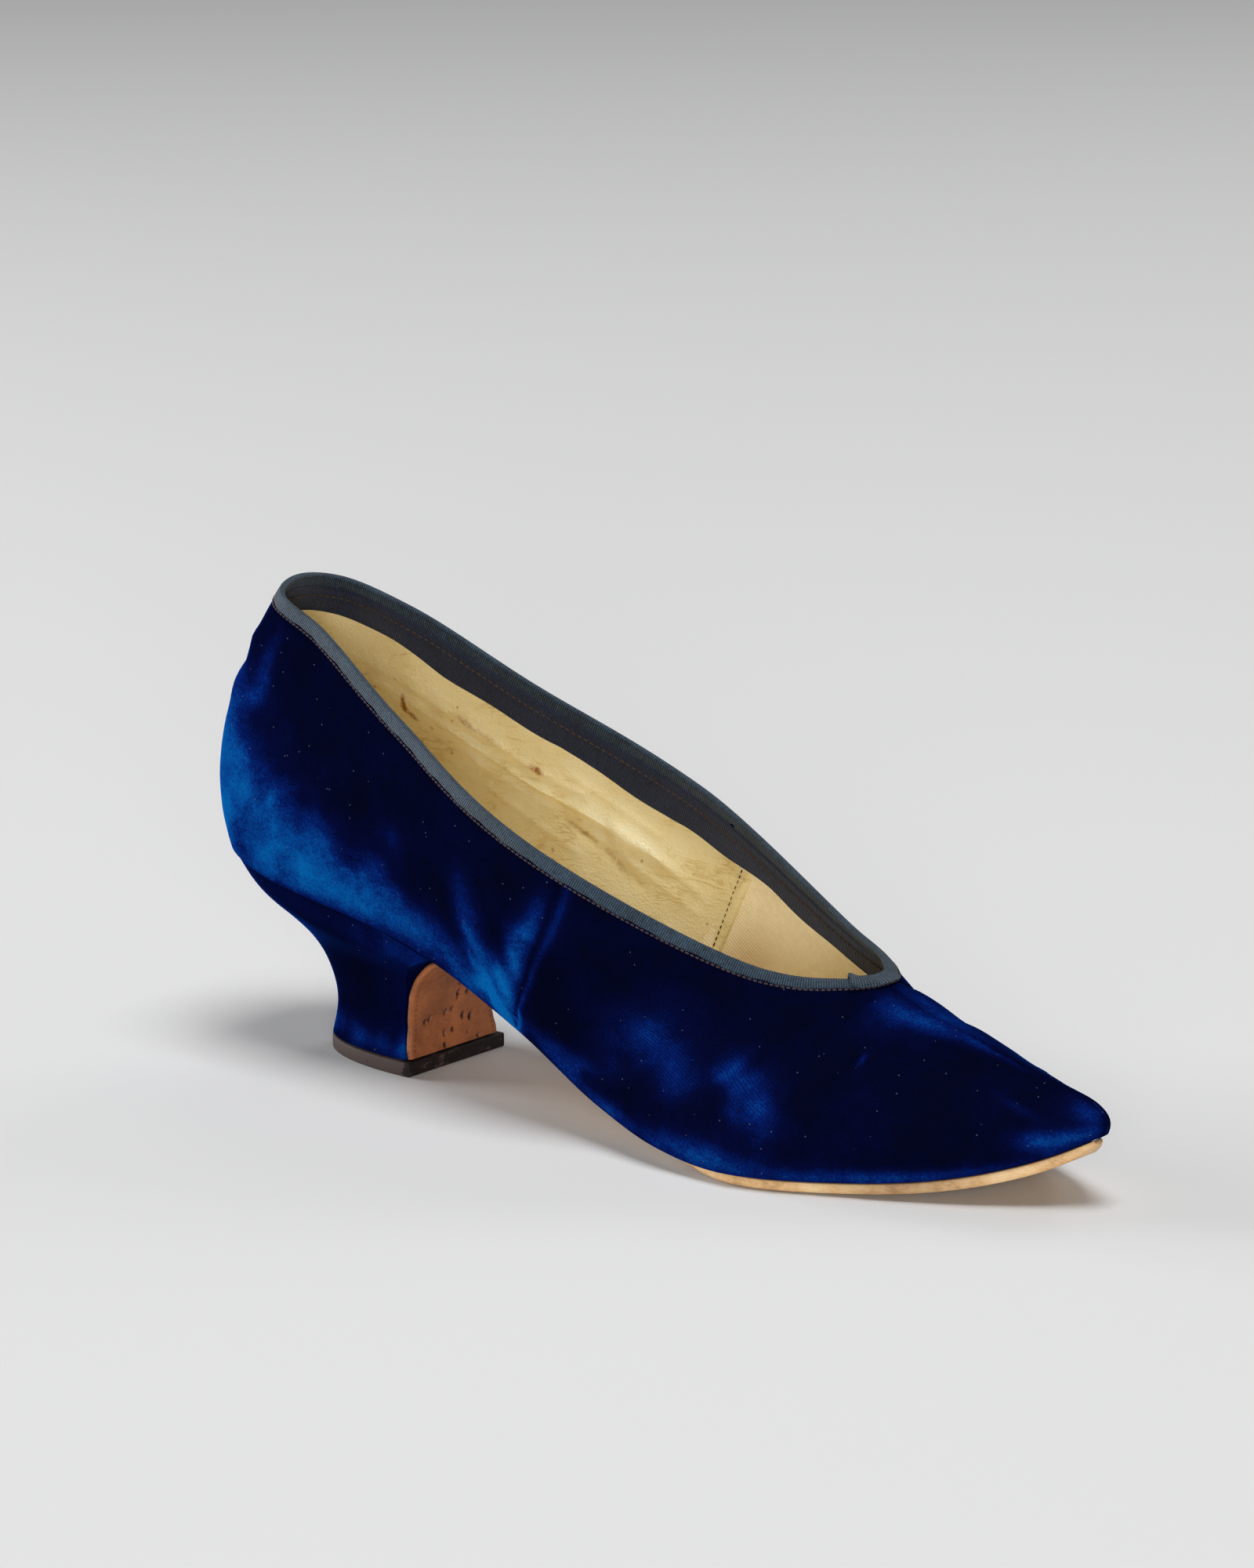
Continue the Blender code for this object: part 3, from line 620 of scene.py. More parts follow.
def velvet(name, colours):
    """Silk velvet: near black where the pile stands to the eye, blue where the pile is laid over by brushing
    and where highlights of its sheen are painted.
    """
    material, shader, place = new_material(name)
    nap = add(material, "Attribute", attribute_name="nap")
    crush = add(material, "Attribute", attribute_name="crush")
    # Pile tufts, drawn at 0.6 mm so that they show
    pile = add(material, "TexNoise", {"Vector": place, "Scale": 1 / (0.6 * MM), "Detail": 2.0})
    # Strokes of the brushed pile, about 1.6 by 4.6 mm, and softer lumps 12 mm across
    leaning = add(material, "Mapping", {"Vector": place, "Rotation": (0.2, 0.7, 0.3),
                                        "Scale": (0.35, 0.6, 1.0)})
    strokes = add(material, "TexNoise", {"Vector": leaning, "Scale": 1 / (1.6 * MM), "Detail": 4.0,
                                         "Roughness": 0.6, "Distortion": 0.4})
    lumps = add(material, "TexNoise", {"Vector": place, "Scale": 1 / (12 * MM), "Detail": 4.0,
                                       "Roughness": 0.6, "Distortion": 0.3})
    # The brushed places are the more uneven ones
    tufted = add(material, "Math", {0: pile, 1: 0.7}, operation="MULTIPLY")
    grain = add(material, "Math", {0: strokes, 1: 0.5, 2: tufted}, operation="MULTIPLY_ADD")
    grained = add(material, "Math", {0: lumps, 1: 0.8, 2: grain}, operation="MULTIPLY_ADD")
    # The nap attribute lightens brushed pile and paints highlights of the sheen
    varied = add(material, "Math", {0: grained, 1: nap}, operation="MULTIPLY")
    softened = add(material, "Math", {0: lumps, 1: 0.22, 2: varied}, operation="MULTIPLY_ADD")
    tufts = add(material, "Math", {0: pile, 1: 0.14, 2: softened}, operation="MULTIPLY_ADD")
    # Ground weave in the crushed places, lines drawn 0.65 mm apart
    slant = add(material, "Mapping", {"Vector": place, "Rotation": (0.0, -0.45, 0.0)})
    weave = add(material, "TexWave", {"Vector": slant, "Scale": BAND_SPACING / (0.65 * MM), "Distortion": 0.8,
                                      "Detail": 1.0, "Detail Scale": 0.4}, wave_type="BANDS",
                bands_direction="Z")
    lines = add(material, "Math", {0: weave, 1: crush}, operation="MULTIPLY")
    worn = add(material, "Math", {0: lines, 1: 0.08, 2: tufts}, operation="MULTIPLY_ADD")
    ramp = add(material, "ValToRGB", {"Fac": worn})
    base = stops(ramp, (0.16, colours["velvet_shade"]), (0.32, colours["velvet_deep"]),
                 (0.50, colours["velvet_navy"]), (0.70, colours["velvet_blue"]),
                 (1.0, colours["velvet_bright"]))
    # Specks of lint about 0.3 mm across, several to a square centimetre
    cells = add(material, "TexVoronoi", {"Vector": place, "Scale": 1 / (2.9 * MM), "Randomness": 1.0})
    speck = add(material, "Math", {0: cells, 1: 0.055}, operation="LESS_THAN")
    chosen = add(material, "SeparateColor", {"Color": cells.outputs["Color"]})
    some = add(material, "Math", {0: chosen.outputs["Red"], 1: 0.15}, operation="GREATER_THAN")
    lint = add(material, "Math", {0: speck, 1: some}, operation="MULTIPLY")
    faint = add(material, "Math", {0: lint, 1: 0.35}, operation="MULTIPLY")
    linted = add(material, "Mix", {"Factor": faint, "A": base, "B": (*colours["lint"], 1.0)},
                 data_type="RGBA")
    bump = add(material, "Bump", {"Height": tufts, "Strength": 0.3, "Distance": 0.4 * MM})
    wire(material, shader, Base_Color=linted, Roughness=0.9, Specular_IOR_Level=0.0, Sheen_Weight=0.5,
         Sheen_Roughness=0.2, Sheen_Tint=(*colours["velvet_sheen"], 1.0), Normal=bump)
    return material


def grosgrain(name, dark, light):
    """Ribbed silk ribbon: fine ribs across its length; the worn attribute shifts its tone, and on the collar
    ribbon it paints shade over the fold and on the inner leg.
    """
    material, shader, place = new_material(name)
    run = add(material, "Attribute", attribute_name="run")
    depth = add(material, "Attribute", attribute_name="depth")
    # The worn attribute holds painted shade on the collar ribbon and its lap
    worn = add(material, "Attribute", attribute_name="worn")
    # Ribs drawn 0.55 mm apart, broken up by slubs, and the fainter threads that cross them 0.42 mm apart,
    # painted darker in their hollows as shade
    turn = add(material, "Math", {0: run, 1: 2 * math.pi / (0.55 * MM)}, operation="MULTIPLY")
    ribs = add(material, "Math", {0: turn}, operation="SINE")
    cross = add(material, "Math", {0: depth, 1: 2 * math.pi / (0.42 * MM)}, operation="MULTIPLY")
    threads = add(material, "Math", {0: cross}, operation="SINE")
    woven = add(material, "Math", {0: threads, 1: 0.45, 2: ribs}, operation="MULTIPLY_ADD")
    slubs = add(material, "TexNoise", {"Vector": place, "Scale": 1 / (0.8 * MM), "Detail": 3.0,
                                       "Roughness": 0.7})
    patchy = add(material, "TexNoise", {"Vector": place, "Scale": 1 / (7 * MM), "Detail": 3.0})
    broken = add(material, "Math", {0: woven, 1: slubs}, operation="MULTIPLY")
    shade = add(material, "Math", {0: broken, 1: 0.46, 2: worn}, operation="MULTIPLY_ADD")
    slubbed = add(material, "Math", {0: slubs, 1: 0.6, 2: shade}, operation="MULTIPLY_ADD")
    mixed = add(material, "Math", {0: patchy, 1: 0.3, 2: slubbed}, operation="MULTIPLY_ADD")
    ramp = add(material, "ValToRGB", {"Fac": mixed})
    base = stops(ramp, (0.2, dark), (1.0, light))
    bump = add(material, "Bump", {"Height": woven, "Strength": 0.6, "Distance": 0.15 * MM})
    wire(material, shader, Base_Color=base, Roughness=0.72, Specular_IOR_Level=0.3, Sheen_Weight=0.12,
         Sheen_Roughness=0.5, Normal=bump)
    return material


def kid(name, colours):
    """Glazed kid leather: cream, finely grained, with wear stains, specks, places shiny from rubbing and
    painted lighter as highlights, and painted shade in its creases.
    """
    material, shader, place = new_material(name)
    stain = add(material, "Attribute", attribute_name="stain")
    gloss = add(material, "Attribute", attribute_name="gloss")
    soil = add(material, "Attribute", attribute_name="soil")
    tone = add(material, "TexNoise", {"Vector": place, "Scale": 1 / (14 * MM), "Detail": 5.0,
                                      "Roughness": 0.6})
    # Grain cells 0.6 mm across, and long soft wrinkles along the foot, about 3 mm apart
    grain = add(material, "TexVoronoi", {"Vector": place, "Scale": 1 / (0.6 * MM)})
    drawn = add(material, "Mapping", {"Vector": place, "Rotation": (0.0, 0.42, 0.0),
                                      "Scale": (0.13, 1.0, 1.0)})
    wrinkle = add(material, "TexNoise", {"Vector": drawn, "Scale": 1 / (3.2 * MM), "Detail": 4.0,
                                         "Roughness": 0.55, "Distortion": 0.25})
    folds = add(material, "Math", {0: wrinkle, 1: 0.5}, operation="SUBTRACT")
    apart = add(material, "Math", {0: folds}, operation="ABSOLUTE")
    lines = add(material, "MapRange", {"Value": apart, "From Min": 0.0, "From Max": 0.05, "To Min": 1.0,
                                       "To Max": 0.0})
    where = add(material, "MapRange", {"Value": tone, "From Min": 0.58, "From Max": 0.40})
    hairs = add(material, "Math", {0: lines, 1: where}, operation="MULTIPLY")
    # Places rubbed to a shine are also painted lighter, as highlights
    rubbed = add(material, "Math", {0: gloss, 1: 0.20, 2: 0.24}, operation="MULTIPLY_ADD")
    calm = add(material, "Math", {0: tone, 1: 0.5, 2: rubbed}, operation="MULTIPLY_ADD")
    hair = add(material, "Math", {0: hairs, 1: -0.13, 2: calm}, operation="MULTIPLY_ADD")
    # Painted shade darkens the tone
    darkened = add(material, "Math", {0: soil, 1: -0.26, 2: hair}, operation="MULTIPLY_ADD")
    ramp = add(material, "ValToRGB", {"Fac": darkened})
    base = stops(ramp, (0.12, colours["kid_shade"]), (0.42, colours["kid"]), (0.72, colours["kid_light"]))
    # Stains break up into specks about 1 mm across
    flecks = add(material, "TexNoise", {"Vector": place, "Scale": 1 / (1.3 * MM), "Detail": 5.0,
                                        "Roughness": 0.75})
    broken = add(material, "Math", {0: flecks, 1: stain}, operation="MULTIPLY")
    spread = add(material, "MapRange", {"Value": broken, "From Min": 0.16, "From Max": 0.46})
    stained = add(material, "Mix", {"Factor": spread, "A": base, "B": (*colours["stain"], 1.0)},
                  data_type="RGBA")
    # Dark specks, one to about 7 mm
    cells = add(material, "TexVoronoi", {"Vector": place, "Scale": 1 / (7 * MM)})
    fly = add(material, "Math", {0: cells, 1: 0.06}, operation="LESS_THAN")
    specked = add(material, "Math", {0: fly, 1: 0.5}, operation="MULTIPLY")
    marked = add(material, "Mix", {"Factor": specked, "A": stained, "B": (*colours["stain"], 1.0)},
                 data_type="RGBA")
    rough = add(material, "MapRange", {"Value": gloss, "To Min": 0.52, "To Max": 0.24})
    height = add(material, "Math", {0: hairs, 1: -0.8, 2: grain}, operation="MULTIPLY_ADD")
    bump = add(material, "Bump", {"Height": height, "Strength": 0.5, "Distance": 0.25 * MM})
    wire(material, shader, Base_Color=marked, Roughness=rough, Specular_IOR_Level=0.4, Normal=bump)
    return material


def twill(name, colours):
    """Buff cotton twill: slanting ribs, a little uneven, stained near the seam."""
    material, shader, place = new_material(name)
    stain = add(material, "Attribute", attribute_name="stain")
    # Twill ribs drawn 0.7 mm apart, painted darker between them as shade
    slant = add(material, "Mapping", {"Vector": place, "Rotation": (0.0, 0.95, 0.0)})
    ribs = add(material, "TexWave", {"Vector": slant, "Scale": BAND_SPACING / (0.7 * MM), "Distortion": 0.8,
                                     "Detail": 1.0}, wave_type="BANDS", bands_direction="X")
    slubs = add(material, "TexNoise", {"Vector": place, "Scale": 1 / (1.5 * MM), "Detail": 4.0,
                                       "Roughness": 0.7})
    clouded = add(material, "TexNoise", {"Vector": place, "Scale": 1 / (12 * MM), "Detail": 3.0})
    woven = add(material, "Math", {0: ribs, 1: 0.5, 2: slubs}, operation="MULTIPLY_ADD")
    toned = add(material, "Math", {0: clouded, 1: 0.5, 2: woven}, operation="MULTIPLY_ADD")
    ramp = add(material, "ValToRGB", {"Fac": toned})
    base = stops(ramp, (0.45, colours["twill_shade"]), (1.0, colours["twill"]))
    blotch = add(material, "Math", {0: slubs, 1: stain}, operation="MULTIPLY")
    stained = add(material, "Mix", {"Factor": blotch, "A": base, "B": (*colours["stain"], 1.0)},
                  data_type="RGBA")
    bump = add(material, "Bump", {"Height": woven, "Strength": 0.5, "Distance": 0.2 * MM})
    wire(material, shader, Base_Color=stained, Roughness=0.88, Specular_IOR_Level=0.2, Normal=bump)
    return material


def sole_leather(name, colours):
    """Oak-tanned sole leather: pale burnished edge, browner down the heel, dark in the seam, and painted
    black in the worm holes as shade.
    """
    material, shader, place = new_material(name)
    hole = add(material, "Attribute", attribute_name="hole")
    seam = add(material, "Attribute", attribute_name="seam")
    flap = add(material, "Attribute", attribute_name="flap")
    streaks = add(material, "Mapping", {"Vector": place, "Scale": (0.35, 0.35, 1.0)})
    # Fibres of the cut edge, 0.5 mm thick, and clouds of handling 8 mm across
    fibre = add(material, "TexNoise", {"Vector": streaks, "Scale": 1 / (0.5 * MM), "Detail": 4.0,
                                       "Roughness": 0.65})
    clouded = add(material, "TexNoise", {"Vector": place, "Scale": 1 / (8 * MM), "Detail": 5.0,
                                         "Roughness": 0.62})
    pores = add(material, "TexNoise", {"Vector": place, "Scale": 1 / (0.7 * MM), "Detail": 3.0})
    tone = add(material, "Math", {0: fibre, 1: 0.5, 2: clouded}, operation="MULTIPLY_ADD")
    ramp = add(material, "ValToRGB", {"Fac": tone})
    edge = stops(ramp, (0.45, colours["sole_shade"]), (0.72, colours["sole"]),
                 (0.95, colours["sole_light"]))
    ramp = add(material, "ValToRGB", {"Fac": tone})
    breast = stops(ramp, (0.45, colours["flap_shade"]), (0.9, colours["flap"]))
    body = add(material, "Mix", {"Factor": flap, "A": edge, "B": breast}, data_type="RGBA")
    lined = add(material, "Mix", {"Factor": seam, "A": body, "B": (*colours["seam_line"], 1.0)},
                data_type="RGBA")
    # Worm holes painted black, as the shade inside them
    pierced = add(material, "Mix", {"Factor": hole, "A": lined, "B": (*colours["hole"], 1.0)},
                  data_type="RGBA")
    height = add(material, "Math", {0: pores, 1: 0.6, 2: fibre}, operation="MULTIPLY_ADD")
    bump = add(material, "Bump", {"Height": height, "Strength": 0.3, "Distance": 0.25 * MM})
    wire(material, shader, Base_Color=pierced, Roughness=0.55, Specular_IOR_Level=0.35, Normal=bump)
    return material


def lift_leather(name, colours):
    """Stacked heel leather, stained dark brown: greyish scuffs on its edge and the lines of its layers."""
    material, shader, place = new_material(name)
    layers = add(material, "Mapping", {"Vector": place, "Scale": (0.15, 0.15, 1.0)})
    # Layers about 1 mm thick, and scuffs 3 mm long
    lines = add(material, "TexNoise", {"Vector": layers, "Scale": 1 / (0.9 * MM), "Detail": 4.0,
                                       "Roughness": 0.7})
    scuffs = add(material, "TexNoise", {"Vector": place, "Scale": 1 / (3 * MM), "Detail": 6.0,
                                        "Roughness": 0.72, "Distortion": 0.8})
    rubbed = add(material, "Attribute", attribute_name="rubbed")
    tone = add(material, "Math", {0: lines, 1: 0.7, 2: scuffs}, operation="MULTIPLY_ADD")
    worn = add(material, "Math", {0: rubbed, 1: 0.32, 2: tone}, operation="MULTIPLY_ADD")
    ramp = add(material, "ValToRGB", {"Fac": worn})
    base = stops(ramp, (0.60, colours["lift_shade"]), (0.95, colours["lift"]), (1.0, colours["lift_scuff"]))
    bump = add(material, "Bump", {"Height": tone, "Strength": 0.35, "Distance": 0.25 * MM})
    wire(material, shader, Base_Color=base, Roughness=0.7, Specular_IOR_Level=0.3, Normal=bump)
    return material


def silk_thread(name, colour):
    """Twisted silk thread: patchy, down to half its colour, as painted shade between its plies."""
    material, shader, place = new_material(name)
    # Plies drawn 0.4 mm long
    plies = add(material, "TexNoise", {"Vector": place, "Scale": 1 / (0.4 * MM), "Detail": 2.0})
    ramp = add(material, "ValToRGB", {"Fac": plies})
    base = stops(ramp, (0.3, tuple(c * 0.5 for c in colour)), (0.7, colour))
    wire(material, shader, Base_Color=base, Roughness=0.6, Specular_IOR_Level=0.3)
    return material


def paper_floor(name, colour):
    """Seamless photographer's paper: matt and pale, with a faint tooth."""
    material, shader, place = new_material(name)
    # Tooth drawn 2 mm across
    tooth = add(material, "TexNoise", {"Vector": place, "Scale": 1 / (2 * MM), "Detail": 2.0})
    bump = add(material, "Bump", {"Height": tooth, "Strength": 0.04, "Distance": 0.2 * MM})
    wire(material, shader, Base_Color=(*colour, 1.0), Roughness=0.95, Specular_IOR_Level=0.1, Normal=bump)
    return material


def colour_property(label, code, use):
    """Colour that a user may change."""
    return FloatVectorProperty(name=label, description=use, subtype="COLOR", size=3, min=0.0, max=1.0,
                               default=linear(code))


def length_property(label, default, use):
    """Length that a user may change."""
    return FloatProperty(name=label, description=use, default=default, min=0.0, unit="LENGTH")


class CourtShoeColours(bpy.types.PropertyGroup):
    """Colours of the shoe's materials."""
    velvet_shade: colour_property("Velvet in shade", "04061B", "Pile that stands to the eye")
    velvet_deep: colour_property("Deep velvet", "040A33", "Pile that leans a little")
    # Navy, blue and bright velvet show brushed pile and also painted highlights of the sheen
    velvet_navy: colour_property("Navy velvet", "051B5C", "Crushed pile")
    velvet_blue: colour_property("Blue velvet", "063D84", "Brushed pile")
    velvet_bright: colour_property("Bright velvet", "065CA2", "Pile that lies flat in the light")
    velvet_sheen: colour_property("Velvet sheen", "0846B4", "Pile seen from the side")
    lint: colour_property("Lint", "788292", "Specks of lint on the pile")
    # The darker ribbon and facing colours are painted shade in the hollows of the ribs
    ribbon_dark: colour_property("Ribbon", "090E15", "Collar ribbon in the hollows of its ribs")
    ribbon_light: colour_property("Worn ribbon", "4A6982", "Collar ribbon worn on its edge")
    facing_dark: colour_property("Facing", "0A0D18", "Ribbon facing in the hollows of its ribs")
    facing_light: colour_property("Worn facing", "2F3A56", "Ribbon facing on its ribs")
    thread: colour_property("Binding thread", "45363A", "Thread along the ribbon")
    brown_thread: colour_property("Brown thread", "4E3822", "Thread of the facing and the lining seam")
    kid: colour_property("Kid", "EBD598", "Kid lining")
    # Light kid carries painted highlights where the kid is rubbed to a shine, darker kid painted shade in the
    # creases
    kid_light: colour_property("Light kid", "F7EABE", "Kid on its folds")
    kid_shade: colour_property("Darker kid", "B68C40", "Kid in its folds")
    stain: colour_property("Stain", "9A5A18", "Stains on the linings")
    twill: colour_property("Twill", "FFEFC4", "Cloth lining")
    # The darker twill is painted shade between the ribs
    twill_shade: colour_property("Darker twill", "E8C68C", "Cloth lining between its ribs")
    sole: colour_property("Sole", "E2B680", "Edge of the sole")
    sole_light: colour_property("Light sole", "F0CE9C", "Rubbed edge of the sole")
    sole_shade: colour_property("Darker sole", "A87C4A", "Fibres of the sole")
    flap: colour_property("Heel leather", "A66338", "Leather down the front of the heel")
    flap_shade: colour_property("Darker heel leather", "704026", "Its darker grain")
    seam_line: colour_property("Sole seam", "3A2418", "Line between the velvet and the sole")
    # Worm holes are painted this black, as the shade inside them
    hole: colour_property("Worm hole", "050302", "Inside of a worm hole")
    lift: colour_property("Top lift", "1C1110", "Stained leather of the top lift")
    lift_shade: colour_property("Darker top lift", "0F0908", "Between its layers")
    lift_scuff: colour_property("Scuffs", "483A36", "Scuffs on the top lift")
    floor: colour_property("Floor", "DCDCDC", "Paper under the shoe")


class CourtShoeSizes(bpy.types.PropertyGroup):
    """Sizes of the shoe's trimmings."""
    velvet_thick: length_property("Velvet", 0.0008, "Thickness of the velvet and its interlining")
    margin: length_property("Lasting margin", 0.009, "Velvet turned under the waist")
    seam_depth: length_property("Seam groove", 0.00045, "Depth of the seams in the velvet")
    ribbon_outside: length_property("Ribbon outside", 0.0026, "Width of the ribbon on the velvet")
    ribbon_inside: length_property("Ribbon inside", 0.0034, "Width of the ribbon on the lining")
    ribbon_thick: length_property("Ribbon thickness", 0.00035, "Thickness of the folded ribbon")
    ribbon_stand: length_property("Ribbon stand", 0.00038, "How far the ribbon stands off the wall")
    stitch_pitch: length_property("Stitch pitch", 0.0013, "Distance between the ribbon's stitches")
    stitch_thick: length_property("Stitch thickness", 0.00052, "Thickness of the thread")
    kid_thick: length_property("Kid", 0.0006, "Thickness of the linings")


def colours_of(context):
    """Colours of the scene as plain tuples."""
    group = context.scene.court_shoe_colours
    return {name: tuple(getattr(group, name)) for name in group.__annotations__}


def seam_gap(girth, rise, seam):
    """Distance from a side seam, positive towards the toe."""
    return abs(girth) - np.interp(rise, seam["rise"], seam["girth"])


def instep_dip(girth, rise):
    """Dip of the vamp just in front of the throat, where the foot bends it."""
    return DIP_DEPTH * bell(abs(girth) - DIP_GIRTH, 8 * MM) * bell((1.0 - rise) * WALL_SPAN, 15 * MM)


class COURT_SHOE_OT_velvet_upper(bpy.types.Operator):
    """Velvet of the upper, with its seams, puckers and crushed places, turned under at the waist"""
    bl_idname = "court_shoe.velvet_upper"
    bl_label = "Velvet upper"

    def execute(self, context):
        sizes = context.scene.court_shoe_sizes
        near = SEAM["girth"][2]
        columns = uneven(-TOE, TOE, 1.7 * MM, 0.45 * MM, (-near, 0.0, near), 2.5 * MM)
        columns = np.unique(np.concatenate((columns, (-THROAT, 0.0, THROAT))))
        rows = np.concatenate((np.linspace(-1.0, 0.0, 6)[:-1], np.linspace(0.0, 1.0, 54)))

        def place(girth, row):
            rise = np.clip(row, 0.0, 1.0)
            points, normals = vamp_frame(girth, rise)
            waist = fade(abs(girth), *WAIST_START) * (1.0 - fade(abs(girth), *WAIST_END))
            toe = fade(abs(girth), *TOE_START)
            under = np.clip(-row, 0.0, 1.0)
            tuck = under ** 1.3 * (LEAST_TUCK + (sizes.margin - LEAST_TUCK) * waist + TOE_TUCK * toe)
            inwards = plan_normal(girth)
            ends = fade(abs(girth), TOE - 0.012, TOE - 0.001)[:, None]
            inwards = unit(inwards + (np.array((1.0, 0.0, 0.0)) - inwards) * ends)
            points -= inwards * tuck[:, None]
            drop = 0.10 * MM + 0.60 * MM * fade(abs(girth), TOE - 0.010, TOE - 0.002)
            points[:, 2] -= drop * fade(under, 0.0, 0.3)
            edges = fade(rise, 0.0, 0.06) * (1.0 - fade(rise, 0.93, 0.99) * (abs(girth) < THROAT))
            points += normals * (self.relief(girth, rise, points, sizes) * edges)[:, None]
            return points

        def wobble(girth, row):
            points = wall_at(girth, np.clip(row, 0.0, 1.0))
            return 0.55 * clouds(points, 9 * MM, 4.0) + 0.3 * clouds(points, 3.5 * MM, 9.0)

        def nap(girth, row):
            rise = np.clip(row, 0.0, 1.0)
            side = seam_gap(girth, rise, SEAM)
            # Painted highlights in thin lines beside the side seams and the back seam, and painted shade in
            # the seams
            seams = 0.20 * bell(side - 1.4 * MM, 0.7 * MM) + 0.18 * bell(abs(girth) - 1.4 * MM, 0.7 * MM)
            painted_seam_shade = np.maximum(bell(side, 0.45 * MM), bell(girth, 0.45 * MM))
            # Brushed pile, and painted highlights of the sheen
            brushed_and_sheen = patches(NAP_AND_SHEEN_PATCHES, NAP_COLUMNS, "nap", girth, rise, wobble(girth, row))
            return (brushed_and_sheen + seams) * (1.0 - 0.8 * painted_seam_shade)

        def crush(girth, row):
            rise = np.clip(row, 0.0, 1.0)
            return patches(NAP_AND_SHEEN_PATCHES, NAP_COLUMNS, "crush", girth, rise, wobble(girth, row))

        bm = bmesh.new()
        grid(bm, columns, rows, place, flip=True, nap=nap, crush=crush, ridge=self.near_ridge)
        ridge = bm.verts.layers.float["ridge"]
        bmesh.ops.remove_doubles(bm, verts=[vert for vert in bm.verts if vert[ridge] > 1.5], dist=0.3 * MM)
        ease(bm, [vert for vert in bm.verts if vert[ridge] > 0.5], 60)
        finish_piece("velvet_upper", bm, velvet("silk velvet", colours_of(context)),
                     replaces=("upper",), shell=-sizes.velvet_thick)
        return {"FINISHED"}

    def near_ridge(self, girth, row):
        """1 beside the ridge of the vamp, where it is drawn into one round, and 2 on the ridge itself."""
        ahead = (abs(girth) > THROAT + 2.5 * MM) & (abs(girth) < TOE - 6 * MM) & (row > 0.80)
        top = (abs(girth) > THROAT - 0.1 * MM) & (abs(girth) < TOE - 6 * MM) & (row > 0.999)
        return np.where(top, 2.0, ahead.astype(float))

    def relief(self, girth, rise, points, sizes):
        """Height of the velvet over the last."""
        uneven_cloth = 0.28 * MM * clouds(points, 17 * MM, 2.0) + 0.10 * MM * clouds(points, 6 * MM, 7.0)
        side = seam_gap(girth, rise, SEAM)
        pulled = 0.6 + 0.4 * clouds(points, 4 * MM, 1.0)
        seams = -sizes.seam_depth * bell(side, 0.8 * MM)
        seams += 0.30 * MM * fade(side, -10 * MM, -7 * MM) * (1.0 - fade(side, -1.2 * MM, 0.0))
        seams += 0.16 * MM * pulled * bell(side - 2.0 * MM, 1.2 * MM)
        back = -sizes.seam_depth * bell(girth, 0.8 * MM) * fade(rise, 0.02, 0.1)
        back += 0.20 * MM * pulled * bell(abs(girth) - 2.2 * MM, 1.3 * MM)
        folds = creases(VELVET_CREASES, girth, rise, clouds(points, 7 * MM, 5.0))
        crest = 0.60 * MM * bell((1.0 - rise) * 46 * MM, 13 * MM)
        crest *= fade(abs(girth), THROAT + 0.008, THROAT + 0.03)
        return uneven_cloth + seams + back + folds + crest - instep_dip(girth, rise)


